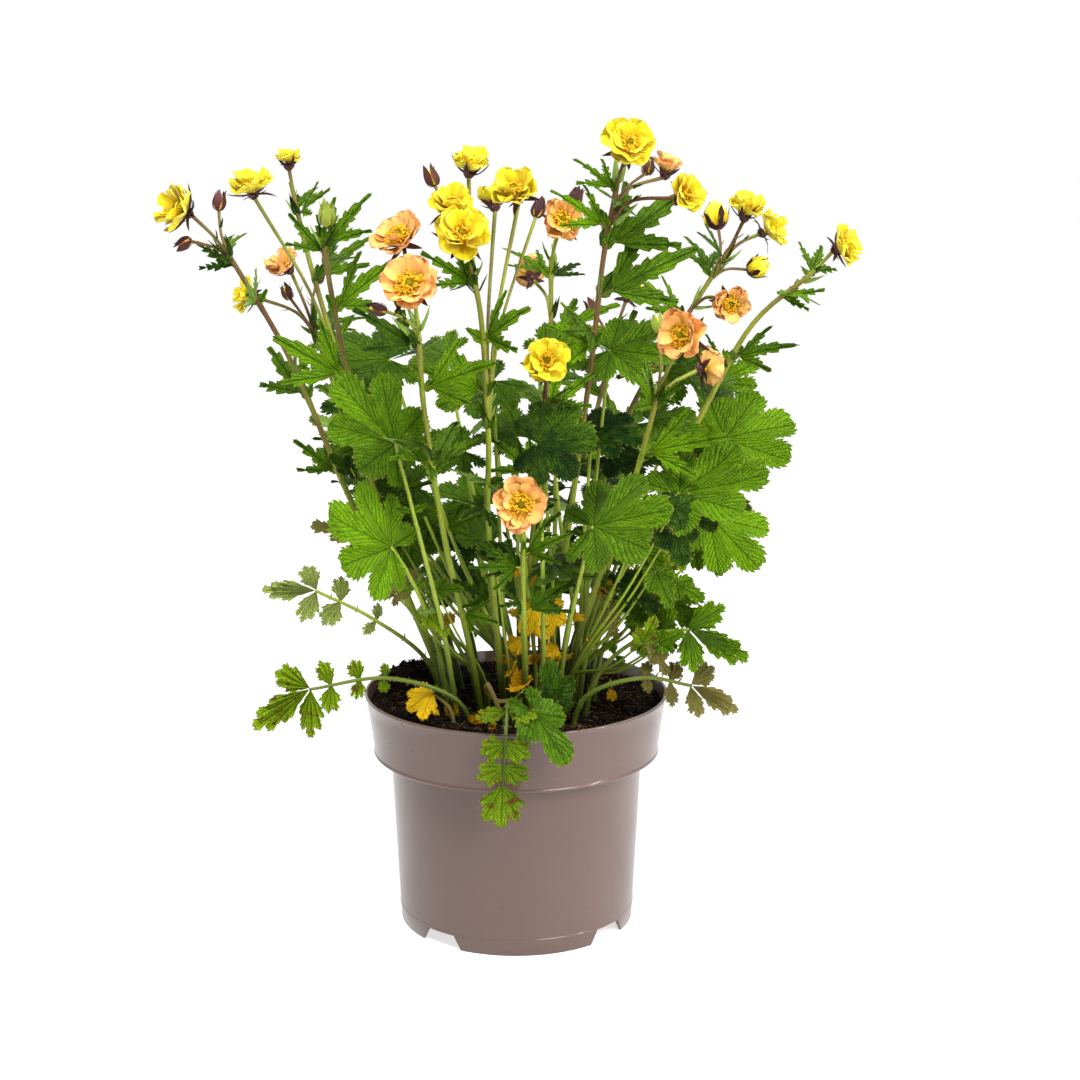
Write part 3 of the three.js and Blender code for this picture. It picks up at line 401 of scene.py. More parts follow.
# Heights in metres where the painted shade at a stalk's foot fades to green, and a stem turns red
SHADED_FOOT_FADE = (0.14, 0.225)
RED_FADE = (0.19, 0.38)


def shade_stalk(name, roughness, specular, grain, foot, greens, depth, reds=None):
    shade = Shade(name, roughness, specular)
    streaks = shade.noise(1, 3, shade.stretched(*grain))
    # Painted shade: each stalk is darker towards its foot near the compost
    colour = shade.mix(shade.height().remap(*SHADED_FOOT_FADE), foot, shade.mix(streaks, *greens))
    if reds:
        patches = (shade.noise(26, 2) - 0.5) * 1.4
        redness = shade.height().remap(*RED_FADE) + patches + shade.value("tone") * 0.35
        colour = shade.mix(redness.remap(0.25, 1.25), colour, shade.mix(streaks, *reds))
    return shade.finish(colour, streaks + shade.noise(1500, 2) * 0.4, depth, 0.5)


def leaf_veins(shade):
    """1 on the middle vein and the side veins, and less on the net between them; and how the
    skin swells between them all."""
    side = shade.math("PINGPONG", shade.value("veins"), 0.5)
    middle = shade.value("across").remap(0.2, 0.6, 1.0, 0.0)
    lines = shade.math("MAXIMUM", middle, side.remap(0.03, 0.11, 1.0, 0.0) * 0.75)
    cells = shade.cells(620)
    veins = shade.math("MAXIMUM", lines, cells.remap(0.02, 0.1, 0.26, 0.0))
    return veins, side * 0.9 + shade.math("MINIMUM", cells, 0.3)


def shade_leaf(name, dark, bright, vein, edge, spots=None):
    shade = Shade(name, 0.38, 0.16)
    veins, swell = leaf_veins(shade)
    patches = shade.noise(34, 3) * 0.9 + shade.noise(300, 3) * 0.7
    # The tone picks each leaf's brightness; for the large and small leaves it is partly painted light
    # and shade
    skin = shade.mix(shade.value("tone") * 0.5 + patches - 0.3, dark, bright)
    if spots:
        skin = shade.mix(shade.noise(210, 3).remap(0.58, 0.68), skin, spots)
    lined = shade.mix(veins * 0.78, skin, vein)
    return shade.finish(shade.mix(shade.value("edge").remap(0.45, 1.0), lined, edge),
                        swell - veins * 0.7 + shade.noise(900, 2) * 0.2, 1.5, 0.9)


def shade_underside(name, dark, bright, vein):
    shade = Shade(name, 0.7, 0.15)
    veins, swell = leaf_veins(shade)
    skin = shade.mix(shade.noise(60, 3), dark, bright)
    return shade.finish(shade.mix(veins * 0.6, skin, vein), veins - swell * 0.5, 0.5, 0.7)


def shade_petal(name, root, middle, rim, streak_and_highlight):
    shade = Shade(name, 0.5, 0.2, sheen_weight=0.1)
    along = shade.value("along")
    place = (shade.value("across") * 9.0, along * 1.4, shade.value("tone") * 20.0)
    streaks = shade.noise(2.2, 4, shade.node("CombineXYZ", 0, place))
    inner = shade.mix(along.remap(0.05, 0.5), root, middle)
    outer = shade.mix((along + (streaks - 0.5) * 0.5).remap(0.55, 1.05), inner, rim)
    # Streaks along the veins; on the apricot petals their pale colour is a painted highlight
    return shade.finish(shade.mix(streaks.remap(0.45, 0.75, 0.0, 0.6), outer, streak_and_highlight),
                        streaks, 0.6, 0.8)


def shade_plain(name, first, second, scale, roughness, depth, specular=0.4):
    shade = Shade(name, roughness, specular)
    share = shade.value("tone") * 0.35 + shade.noise(scale, 3)
    return shade.finish(shade.mix(share, first, second), shade.noise(scale * 3, 2), depth, 0.6)


# Dark and bright skin, veins, edge and spots
LEAF_COLOURS = {
    "leaf": [(16, 46, 0), (106, 150, 0), (18, 46, 0), (140, 136, 52)],
    "low_leaf": [(50, 86, 2), (132, 164, 8), (46, 70, 2), (142, 96, 44), (112, 78, 26)],
    "grey_leaf": [(110, 134, 46), (172, 188, 96), (112, 134, 50), (124, 118, 52)],
    "withered_leaf": [(222, 152, 0), (255, 212, 24), (206, 134, 8), (170, 96, 20)],
}
# Dark and bright skin and veins
UNDERSIDE_COLOURS = {
    "leaf_under": [(92, 122, 40), (122, 150, 62), (152, 176, 92)],
    "brown_leaf": [(72, 84, 28), (122, 106, 54), (92, 74, 36)],
    "withered_leaf_under": [(226, 158, 8), (252, 200, 30), (204, 132, 12)],
}
# Root, middle, rim and streaks; the apricot's pale streaks are painted highlight as well as vein marks
PETAL_COLOURS = {
    "petal_yellow": [(212, 168, 6), (226, 208, 22), (244, 232, 96), (220, 188, 12)],
    "petal_apricot": [(226, 166, 30), (232, 172, 92), (214, 122, 94), (242, 198, 124)],
}
# Two colours, the grain's scale, the roughness, the relief's depth and the shine
PLAIN_SHADES = {
    "stamen": [(206, 164, 8), (236, 200, 28), 900, 0.7, 0.1],
    "anther": [(198, 146, 4), (232, 188, 18), 1500, 0.85, 0.1],
    "pistil": [(164, 164, 20), (212, 196, 40), 900, 0.6, 0.1],
    "sepal": [(38, 13, 18), (82, 42, 36), 160, 0.6, 0.25, 0.2],
    "bud_green": [(84, 110, 24), (140, 152, 44), 200, 0.55, 0.25],
    "hair": [(196, 186, 150), (232, 226, 206), 400, 0.6, 0.05],
}


def make_shades():
    """Every material by its name."""
    shades = {
        "pot": shade_pot(),
        "compost": shade_compost(),
        "crumbs": shade_crumbs(),
        # The colour after each stalk's grain is the painted shade at its foot
        "stem": shade_stalk("stem", 0.5, 0.22, (900, 900, 45), (52, 62, 8),
                            [(92, 116, 8), (158, 168, 52)], 0.35, [(60, 34, 20), (112, 80, 42)]),
        "leaf_stalk": shade_stalk("leaf_stalk", 0.45, 0.25, (800, 800, 30), (52, 66, 8),
                                  [(92, 124, 6), (172, 184, 64)], 0.3),
    }
    for shade, table in ((shade_leaf, LEAF_COLOURS), (shade_underside, UNDERSIDE_COLOURS),
                         (shade_petal, PETAL_COLOURS), (shade_plain, PLAIN_SHADES)):
        for name, looks in table.items():
            shades[name] = shade(name, *looks)
    return shades


# Meshes


# Kept at every point of a piece for its shaders
VALUES = ("tone", "along", "across", "veins", "edge")


class Piece:
    """Points in millimetres, triangles and their shades, gathered into one object."""

    def __init__(self):
        self.points = []
        self.triangles = []
        self.shades = []
        self.values = {name: [] for name in VALUES}
        self.count = 0

    def add(self, points, triangles, shade, **values):
        points = np.asarray(points, float)
        triangles = np.asarray(triangles, int)
        self.points.append(points)
        self.triangles.append(triangles + self.count)
        self.shades.extend([shade] * len(triangles) if isinstance(shade, str) else shade)
        for name in VALUES:
            self.values[name].append(np.broadcast_to(
                np.asarray(values.get(name, 0.0), float), (len(points),)))
        self.count += len(points)

    def add_copies(self, points, faces, shade, tones):
        """Many small shapes of the same faces; points is [copies, corners, 3]."""
        copies, corners, _ = points.shape
        triangles = np.arange(copies)[:, None, None] * corners + np.array(faces)
        self.add(points.reshape(-1, 3), triangles.reshape(-1, 3), shade,
                 tone=np.repeat(tones, corners))

    def make(self, name, slot, nodes=(), crease=62):
        mesh = bpy.data.meshes.new(name)
        points = np.concatenate(self.points) * MM
        triangles = np.concatenate(self.triangles)
        mesh.vertices.add(len(points))
        mesh.vertices.foreach_set("co", points.ravel())
        mesh.loops.add(triangles.size)
        mesh.loops.foreach_set("vertex_index", triangles.ravel())
        mesh.polygons.add(len(triangles))
        mesh.polygons.foreach_set("loop_start", np.arange(len(triangles)) * 3)
        used = list(dict.fromkeys(self.shades))
        for shade in used:
            mesh.materials.append(SHADES[shade])
        order = {shade: index for index, shade in enumerate(used)}
        mesh.polygons.foreach_set("material_index", [order[shade] for shade in self.shades])
        for value, parts in self.values.items():
            layer = mesh.attributes.new(value, "FLOAT", "POINT")
            layer.data.foreach_set("value", np.concatenate(parts))
        mesh.update(calc_edges=True)
        mesh.validate()
        mesh.shade_smooth()
        mesh.set_sharp_from_angle(angle=math.radians(crease))
        piece = add_object(name, mesh)
        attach(piece, "root")
        if nodes:
            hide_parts(*nodes)
        return piece


def add_object(name, data):
    item = bpy.data.objects.new(name, data)
    bpy.context.scene.collection.objects.link(item)
    return item


def unit(vector):
    return vector / np.linalg.norm(vector)


def units(vectors):
    return vectors / np.linalg.norm(vectors, axis=1)[:, None]


def circle(count):
    """That many turns, spread evenly round a circle."""
    return np.arange(count) * FULL_TURN / count


def ring(turns, radius, height):
    """Points round the vertical axis."""
    return np.stack([radius * np.cos(turns), radius * np.sin(turns), height + 0 * turns], -1)


def seed_of(name):
    """The seed of a piece, worked out from its name."""
    return sum((i + 7) * ord(letter) for i, letter in enumerate(name))


def blade_axes(along, face):
    """Forward, left and up of a flat thing that grows along with a given upper side."""
    forward = unit(np.asarray(along, float))
    face = np.asarray(face, float)
    up = unit(face - face.dot(forward) * forward)
    return forward, np.cross(up, forward), up


def welded(points, triangles, values):
    """Points that coincide become one, and triangles without area go."""
    _, first, index = np.unique(np.round(points, 3), axis=0, return_index=True, return_inverse=True)
    index = index.ravel()
    triangles = index[triangles]
    a, b, c = triangles.T
    keep = (a != b) & (b != c) & (a != c)
    return points[first], triangles[keep], {name: item[first] for name, item in values.items()}, keep


def grid_triangles(rows, columns, closed=False):
    """Triangles of a grid of points stored row by row, turning from row to column."""
    row, column = np.meshgrid(np.arange(rows - 1), np.arange(columns - (0 if closed else 1)),
                              indexing="ij")
    a = (row * columns + column).ravel()
    b = ((row + 1) * columns + column).ravel()
    c = ((row + 1) * columns + (column + 1) % columns).ravel()
    d = (row * columns + (column + 1) % columns).ravel()
    return np.concatenate([np.stack([a, b, c], 1), np.stack([a, c, d], 1)])


class Way:
    """The smooth line through points, a centripetal Catmull-Rom curve, walked by its length."""

    STEPS = 200

    def __init__(self, points):
        points = np.asarray(points, float)
        spread = np.linspace(0, 1, self.STEPS + 1)
        if len(points) == 2:
            self.line = points[0] + spread[:, None] * (points[1] - points[0])
        else:
            self.line = self.smooth(points, spread * (len(points) - 1))
        steps = np.linalg.norm(np.diff(self.line, axis=0), axis=1)
        walked = np.concatenate([[0], np.cumsum(steps)])
        self.length = walked[-1]
        self.shares = walked / self.length

    @staticmethod
    def smooth(points, places):
        ends = np.vstack([2 * points[0] - points[1], points, 2 * points[-1] - points[-2]])
        gaps = (np.diff(ends, axis=0) ** 2).sum(1) ** 0.25
        line = []
        for place in places:
            i = min(int(place), len(points) - 2)
            w = place - i
            x0, x1, x2, x3 = ends[i:i + 4]
            d0, d1, d2 = gaps[i:i + 3]
            t1 = ((x1 - x0) / d0 - (x2 - x0) / (d0 + d1) + (x2 - x1) / d1) * d1
            t2 = ((x2 - x1) / d1 - (x3 - x1) / (d1 + d2) + (x3 - x2) / d2) * d1
            line.append(x1 + t1 * w + (3 * (x2 - x1) - 2 * t1 - t2) * w ** 2
                        + (2 * (x1 - x2) + t1 + t2) * w ** 3)
        return np.array(line)

    def at(self, share):
        return np.stack([np.interp(share, self.shares, self.line[:, i]) for i in range(3)], -1)

    def direction(self, share):
        return unit(self.at(min(1, share + 0.004)) - self.at(max(0, share - 0.004)))

    def share_at(self, height):
        """The share of the way at which it passes a height."""
        low = 0
        high = 1
        for _ in range(30):
            middle = (low + high) / 2
            if self.at(middle)[2] < height:
                low = middle
            else:
                high = middle
        return low


def tube(piece, line, radii, sides, shade, ridge=0.0, tone=0.0):
    """A closed round stalk along points. Returns its rings' centres, normals and directions."""
    line = np.asarray(line, float)
    radii = np.broadcast_to(radii, len(line))
    directions = units(np.gradient(line, axis=0))
    normal = unit(np.cross(directions[0], [0.31, 0.95, 0.02]))
    turns = circle(sides)
    rings = []
    normals = []
    for centre, direction, radius in zip(line, directions, radii):
        normal = unit(normal - normal.dot(direction) * direction)
        other = np.cross(direction, normal)
        outward = np.cos(turns)[:, None] * normal + np.sin(turns)[:, None] * other
        swell = 1 + ridge * np.cos(turns * 5)
        rings.append(centre + outward * radius * swell[:, None])
        normals.append(outward)
    points = np.concatenate([*rings, line[:1], line[-1:]])
    triangles = grid_triangles(len(line), sides, closed=True)[:, ::-1]
    around = np.arange(sides)
    following = (around + 1) % sides
    last = (len(line) - 1) * sides
    foot = len(line) * sides
    caps = np.concatenate([
        np.stack([np.full(sides, foot), following, around], 1),
        np.stack([np.full(sides, foot + 1), last + around, last + following], 1)])
    piece.add(points, np.concatenate([triangles, caps]), shade, tone=tone,
              along=np.concatenate([np.repeat(np.linspace(0, 1, len(line)), sides), [0, 1]]))
    return np.array(rings), np.array(normals), directions


HAIR_RADIUS = 0.07
# A direction that no hair or rod takes
ASKEW = [0.37, 0.21, 0.9]
ROD_TAPER = 0.8


def three_sided(starts, ends, thick):
    """The three corners of each hair or rod, as steps from its axis."""
    along = units(ends - starts)
    side = units(np.cross(along, ASKEW))
    other = np.cross(along, side)
    return [thick * (math.cos(turn) * side + math.sin(turn) * other) for turn in circle(3)]


def spikes(piece, starts, ends, thick, shade, tones):
    """Thin closed hairs with a three-sided foot and a point."""
    feet = [starts + corner for corner in three_sided(starts, ends, thick)]
    piece.add_copies(np.stack([*feet, ends], 1), [[0, 1, 3], [1, 2, 3], [2, 0, 3], [0, 2, 1]],
                     shade, tones)


def rods(piece, starts, ends, thick, shade, tones):
    """Thin closed three-sided rods, a little thinner at the end."""
    corners = three_sided(starts, ends, thick)
    points = np.stack([*(starts + corner for corner in corners),
                       *(ends + corner * ROD_TAPER for corner in corners)], 1)
    faces = [[0, 1, 4], [0, 4, 3], [1, 2, 5], [1, 5, 4], [2, 0, 3], [2, 3, 5], [0, 2, 1], [3, 4, 5]]
    piece.add_copies(points, faces, shade, tones)


OCTAHEDRON = np.array([[1, 0, 0], [0, 1, 0], [-1, 0, 0], [0, -1, 0], [0, 0, 1], [0, 0, -1]], float)
OCTAHEDRON_FACES = [[0, 1, 4], [1, 2, 4], [2, 3, 4], [3, 0, 4],
                    [1, 0, 5], [2, 1, 5], [3, 2, 5], [0, 3, 5]]


def grains(piece, centres, sizes, shade, tones):
    """Small closed eight-sided grains; sizes is [count, 3]."""
    piece.add_copies(centres[:, None] + OCTAHEDRON * sizes[:, None], OCTAHEDRON_FACES, shade, tones)


def hairs_on(piece, rings, normals, directions, count, length, rng, first=0.0):
    """Hairs that stand out of a tube, from a share of its length on."""
    steps, sides = rings.shape[:2]
    ring = rng.uniform(first * (steps - 1), steps - 1.001, count)
    side = rng.integers(0, sides, count)
    low = ring.astype(int)
    blend = (ring - low)[:, None]
    start = rings[low, side] * (1 - blend) + rings[low + 1, side] * blend
    out = normals[low, side]
    reach = length * rng.uniform(0.6, 1.25, count)[:, None]
    lean = rng.normal(0, 0.28, (count, 3)) + directions[low] * 0.25
    spikes(piece, start - out * 0.1, start + (out + lean) * reach, HAIR_RADIUS, "hair",
           rng.uniform(-1, 1, count))


# Blades


# How a blade is cut: the bends of a lobe's free edge in shares of its length, how far the slit
# between two lobes follows their middle line, the teeth on each side of a lobe, how far they stand
# out in mm and the share of a free edge without them, and how deep the folds and quilts are
BASAL = {"first": (0.16, 0.05), "second": (0.0, 0.24), "slit": 0.72, "teeth": 6, "tooth": 2.3,
         "bare": 0.05, "quilt": 0.45, "rows": (0, 0.3, 0.6, 0.86, 1), "fold": 0.12, "lift": 0.04,
         "thick": 0.34}
SMALL_BASAL = {**BASAL, "teeth": 4, "tooth": 1.6, "quilt": 0.25}
FAN = {"first": (0.3, 0.02), "second": (-0.02, 0.15), "slit": 0.5, "teeth": 3, "tooth": 1.4,
       "bare": 0.5, "quilt": 0.25, "rows": (0, 0.5, 1), "fold": 0.1, "lift": 0.04, "thick": 0.3}
LEAFLET = {"first": (0.42, 0.34), "second": (0.02, 0.34), "slit": 0, "teeth": 5, "tooth": 0.95,
           "bare": 0.3, "quilt": 0.25, "rows": (0, 0.35, 0.7, 1), "fold": 0.1, "lift": 0.05,
           "thick": 0.3}
STEM_LEAF = {"first": (0.2, 0.1), "second": (0.36, 0.09), "slit": 0.22, "teeth": 4, "tooth": 1.9,
             "bare": 0.3, "quilt": 0.3, "rows": (0, 0.4, 0.8, 1), "fold": 0.1, "lift": 0.04,
             "thick": 0.3}
WIDE_STEM_LEAF = {**STEM_LEAF, "first": (0.27, 0.14), "second": (0.3, 0.12), "tooth": 2.3}
STIPULE = {"first": (0.1, 0.28), "second": (0.4, 0.24), "slit": 0, "teeth": 3, "tooth": 0.9,
           "bare": 0.2, "quilt": 0.12, "rows": (0, 0.5, 1), "fold": 0.1, "lift": 0.05, "thick": 0.28}
BRACT = {"first": (0.1, 0.2), "second": (0.5, 0.1), "slit": 0, "teeth": 2, "tooth": 0.3,
         "bare": 0.2, "quilt": 0.05, "rows": (0, 0.5, 1), "fold": 0.12, "lift": 0.05, "thick": 0.26}
INNER = {**BASAL, "teeth": 5, "rows": (0, 0.4, 0.8, 1), "quilt": 0.4}
TINY = {**SMALL_BASAL, "teeth": 3, "rows": (0, 0.5, 1), "quilt": 0.2}

# The stalk of a stem leaf as a share of its length, and the length from which it is a wide one
STEM_LEAF_STALK = 0.12
WIDE_FROM = 43
# The tip of its side lobe, the slit beside the middle one and its foot, in shares of its blade
STEM_LEAF_SIDE = (0.58, 0.46)
STEM_LEAF_SLIT = complex(0.27, 0.085)
STEM_LEAF_FOOT = complex(0.06, 0.06)
# The upper side of a stem leaf faces up, to the front and away from the plant's middle
STEM_LEAF_FACE = np.array([0, -0.8, 0.7])
STEM_LEAF_FACE_OUT = 0.5

# How bright the large leaves are, from -1 to 1: partly their own green and partly painted light
# and shade, low for a leaf in shadow and high for an upturned leaf that light shines through
LEAF_TONES_AND_PAINTED_SHADE = {"leaf_upper_left": 0.25, "leaf_left": 0.65, "leaf_middle": -0.75,
              "leaf_front_right": 0.15, "leaf_far_right": 0.55, "leaf_right": 0.3,
              "leaf_right_low": 0.9, "leaf_small_round": -0.6, "leaf_folded": -0.35,
              "leaf_rim_left": 0.9, "leaf_low_right": 0.5, "leaf_over_rim": 0.2,
              "leaf_low_left": 0.9, "withered_leaf_left": 1.0, "withered_leaf_middle": 0.8}

SEAM_SHARES = np.array([0, 0.4, 0.75])
SEAM_VEINS = 2.0
VEIN_SLANT = 2.2
TIP_FLATNESS = 0.88
SLIT_GAP = 0.25
LOBE_LAP = 0.45
TOOTH_PLACES = np.array([0, 0.34, 0.66, 0.82])
TOOTH_STANDS = np.array([-0.42, 0.14, 0.66, -0.02])
TOOTH_LEANS = np.array([0, 0.08, 0.75, 0.3])


def half_lobe(tip, notch, side, vein_share, sizes, ends, style, free):
    """One side of a lobe in its leaf's own plane as complex numbers: columns from the hub
    along the vein, rows from the vein to the edge. ends are the shares where its teeth end."""
    length = abs(tip)
    ahead = tip / length
    out = 1j * side * ahead
    teeth = style["teeth"]
    if free:
        sizes = sizes * np.clip((ends[1:] - style["bare"]) * 5, 0, 1)
        first = notch + (ahead * style["first"][0] + out * style["first"][1]) * length
    else:
        sizes = sizes * np.clip(ends[1:] * 2.5, 0, 1)
        first = notch * (1 + style["slit"] * (length / abs(notch) - 1)) - out * SLIT_GAP
    second = tip + (-ahead * style["second"][0] + out * style["second"][1]) * length
    spot = np.append((ends[:-1, None] + np.diff(ends)[:, None] * TOOTH_PLACES).ravel(), 1.0)
    number = np.append((np.arange(teeth)[:, None] + TOOTH_PLACES).ravel(), teeth)
    back = 1 - spot
    edge = (back ** 3 * notch + 3 * back ** 2 * spot * first + 3 * back * spot ** 2 * second
            + spot ** 3 * tip)
    heading = (3 * back ** 2 * (first - notch) + 6 * back * spot * (second - first)
               + 3 * spot ** 2 * (tip - second))
    heading /= np.maximum(abs(heading), 1e-6)
    stand = np.append((sizes[:, None] * TOOTH_STANDS).ravel(), 0.0)
    lean = np.append((sizes[:, None] * TOOTH_LEANS).ravel(), 0.0)
    stand[0] = 0.0
    edge = edge + heading * (lean + 1j * side * stand)
    vein = np.concatenate([SEAM_SHARES * vein_share, vein_share + (1 - vein_share) * spot]) * tip
    border = np.concatenate([SEAM_SHARES * notch, edge])
    rows = np.array(style["rows"])
    plane = vein[:, None] + (border - vein)[:, None] * rows
    count = np.concatenate([-SEAM_VEINS * (1 - SEAM_SHARES), number])
    veins = count[:, None] - 0.62 + VEIN_SLANT * (1 - rows)
    rim = np.concatenate([SEAM_SHARES > 0 if free else SEAM_SHARES < 0, np.ones(len(edge), bool)])
    point = np.concatenate([np.zeros(3), np.tile([0, 0.2, 1, 0.3], teeth), [1]])
    across = abs(border - vein)[:, None] * rows
    lap = np.concatenate([np.zeros(3), side * np.sin(math.pi * spot) * LOBE_LAP * (not free)])
    taper = np.concatenate([np.ones(3), 1 - TIP_FLATNESS * spot ** 1.2])[:, None]
    return plane, rows, veins, across, rim[:, None] * rows ** 6, point, lap[:, None] * rows, taper


def lobed_blade(piece, origin, axes, lobes, notches, style, tone, rng, droop=0.12, shades=None,
                curl=0.0, wave=1.0):
    """A leaf blade as a thin closed shell. lobes are the tips and notches the points between
    them, in the plane of the leaf, whose hub is the origin."""
    top_shade, under_shade = shades or ("leaf", "leaf_under")
    forward, left, up = axes
    size = max(abs(lobe) for lobe in lobes)
    phases = rng.uniform(0, FULL_TURN, 4)
    points = []
    triangles = []
    names = []
    values = {name: [] for name in ("along", "across", "veins", "edge")}
    count = 0
    for i, lobe in enumerate(lobes):
        tip = lobe * (1 + 0.6 * style["tooth"] / abs(lobe))
        ends = np.append(0, np.cumsum(rng.uniform(0.7, 1.3, style["teeth"])))
        ends /= ends[-1]
        near = (abs(notches[i]) + abs(notches[i + 1])) / 2
        vein_share = min(0.6, 0.62 * near / abs(tip))
        for side, notch, free in ((-1, notches[i], i == 0),
                                  (1, notches[i + 1], i == len(lobes) - 1)):
            sizes = style["tooth"] * rng.uniform(0.5, 1.35, style["teeth"])
            plane, rows, veins, across, rim, point, lap, taper = half_lobe(
                tip, notch, side, vein_share, sizes, ends, style, free)
            reach = abs(plane) / size
            pleat = (-style["fold"] + (style["fold"] + style["lift"]) * rows ** 0.9)
            pleat = pleat * reach * size * taper
            quilt = (style["quilt"] * np.sin(math.pi * veins) ** 2 * np.sin(math.pi * rows) ** 0.7
                     * taper)
            x = plane.real / size
            y = plane.imag / size
            ripple = (np.sin(x * 5 + phases[0]) * np.sin(y * 6 + phases[1])
                      + 0.6 * np.sin(y * 11 + phases[2]) * reach)
            height = (pleat + quilt * np.minimum(1, reach * 3) + wave * 0.022 * size * ripple * reach
                      - droop * plane.real ** 2 / size - curl * plane.imag ** 2 / size + lap)
            thick = style["thick"] / 2 * (1 - np.minimum(1, rim)) * np.minimum(1, reach * 30)
            for sign, shade in ((1, top_shade), (-1, under_shade)):
                lifted = height + sign * thick
                spot = (np.asarray(origin) + plane.real[..., None] * forward
                        + plane.imag[..., None] * left + lifted[..., None] * up)
                faces = grid_triangles(*plane.shape)
                if side * sign < 0:
                    faces = faces[:, ::-1]
                points.append(spot.reshape(-1, 3))
                triangles.append(faces + count)
                names.extend([shade] * len(faces))
                count += plane.size
                values["along"].append(reach.ravel())
                values["across"].append(across.ravel())
                values["veins"].append(veins.ravel())
                values["edge"].append((rim * (0.5 + 0.5 * point[:, None])).ravel())
    merged = {name: np.concatenate(item) for name, item in values.items()}
    points, triangles, merged, keep = welded(
        np.concatenate(points), np.concatenate(triangles), merged)
    piece.add(points, triangles, np.array(names)[keep], tone=tone, **merged)


# The shares of the way out to which the slits of a round leaflet reach in
SLIT_DEPTHS = (0.48, 0.84)
# The width up to which an end leaflet is a small one
SMALL_WIDTH = 40


def end_leaflet(piece, origin, axes, length, width, lobes_each_side, tone, rng, shades=None,
                style=BASAL, **bends):
    """The round blade at the end of a basal leaf."""
    reach = [1, 0.94, 0.8, 0.6] if lobes_each_side == 3 else [1, 0.86, 0.6]
    step = math.radians(132) / lobes_each_side

    def spot(turn, share):
        return complex(length * share * math.cos(turn), width / 2 * share * math.sin(turn))

    numbers = range(-lobes_each_side, lobes_each_side + 1)
    lobes = [spot(n * step, reach[abs(n)] * rng.uniform(0.97, 1.06)) for n in numbers]
    notches = [spot((n + 0.5 + rng.uniform(-0.08, 0.08)) * step, rng.uniform(*SLIT_DEPTHS)
                    * (reach[abs(n)] + reach[min(abs(n + 1), lobes_each_side)]) / 2)
               for n in numbers if n < lobes_each_side]
    last = (lobes_each_side + 0.36) * step
    ends = [spot(-last, 0.26), spot(last, 0.26)]
    lobed_blade(piece, origin, axes, lobes, [ends[0], *notches, ends[1]], style, tone, rng,
                shades=shades, **bends)


# A wedge-shaped leaflet: [turn in degrees, reach] of its lobes and of the slits between them
FAN_LOBES = [[0, 1], [28, 0.87], [56, 0.62]]
FAN_SLITS = [[14, 0.76], [42, 0.6]]
FAN_FOOT = [80, 0.07]


def fan_blade(piece, origin, axes, length, tone, rng, spread=1.0, shades=None, **bends):
    """A wedge-shaped leaflet, lobed and toothed only at its broad end."""

    def spot(side, turn, share):
        turn = math.radians(turn) * spread * side
        return length * share * rng.uniform(0.96, 1.04) * complex(math.cos(turn), math.sin(turn))

    lobes = [spot(-1, *FAN_LOBES[2]), spot(-1, *FAN_LOBES[1]), spot(1, *FAN_LOBES[0]),
             spot(1, *FAN_LOBES[1]), spot(1, *FAN_LOBES[2])]
    notches = [spot(-1, *FAN_FOOT), spot(-1, *FAN_SLITS[1]), spot(-1, *FAN_SLITS[0]),
               spot(1, *FAN_SLITS[0]), spot(1, *FAN_SLITS[1]), spot(1, *FAN_FOOT)]
    lobed_blade(piece, origin, axes, lobes, notches, FAN, tone, rng, shades=shades, **bends)


def single_blade(piece, origin, axes, length, style, tone, rng, shades=None, **bends):
    """A leaflet with one lobe."""
    ends = [complex(0.04, -0.06) * length, complex(0.04, 0.06) * length]
    lobed_blade(piece, origin, axes, [complex(length, 0)], ends, style, tone, rng, shades=shades,
                **bends)


def stem_leaf(piece, at, along, length, tone, rng):
    """A leaf of three pointed, toothed lobes on a short stalk."""
    outward = unit(np.array([at[0], at[1], 0.001]))
    axes = blade_axes(along, STEM_LEAF_FACE + STEM_LEAF_FACE_OUT * outward)
    forward = axes[0]
    stalk = STEM_LEAF_STALK * length
    origin = at + forward * stalk
    tube(piece, [at, at + forward * stalk * 0.5, origin + forward * 0.04 * length],
         [0.75, 0.6, 0.4], 5, "stem")
    blade = length - stalk
    style = WIDE_STEM_LEAF if length > WIDE_FROM else STEM_LEAF
    side = complex(STEM_LEAF_SIDE[0], STEM_LEAF_SIDE[1] * rng.uniform(0.94, 1.06)) * blade
    notch = STEM_LEAF_SLIT * blade
    outer = STEM_LEAF_FOOT * blade
    lobes = [side.conjugate(), complex(blade, 0), side]
    notches = [outer.conjugate(), notch.conjugate(), notch, outer]
    lobed_blade(piece, origin, axes, lobes, notches, style, tone, rng, droop=0.2,
                curl=rng.uniform(-0.05, 0.2))


def low_end(piece, hub, axes, length, tone, rng, shades):
    """The end of a low leaf: a long wedge between two shorter ones."""
    forward, left, up = axes
    fan_blade(piece, hub, axes, length, tone, rng, 0.32, shades, curl=0.6)
    for side in (-1, 1):
        turn = side * math.radians(rng.uniform(52, 68))
        along = math.cos(turn) * forward + math.sin(turn) * left + rng.uniform(-0.2, 0.25) * up
        foot = hub + LOW_END_STEP * (side * left - forward)
        fan_blade(piece, foot, blade_axes(along, up - 0.4 * side * left),
                  length * rng.uniform(0.58, 0.7), tone + rng.uniform(-0.1, 0.6), rng, 0.52, shades,
                  curl=0.4)


# Low leaves of separate wedges, and of one of them whose rib goes on past the stalk the further
# pairs, [share of the way to the tip, length], and the share at which the end starts
WEDGED = ("leaf_rim_left", "leaf_low_left", "leaf_low_right", "leaf_rim_right", "leaf_over_rim")
CHAIN = [[0.08, 15], [0.34, 17]]
CHAIN_END = 0.54
LOW_END_STEP = 0.7


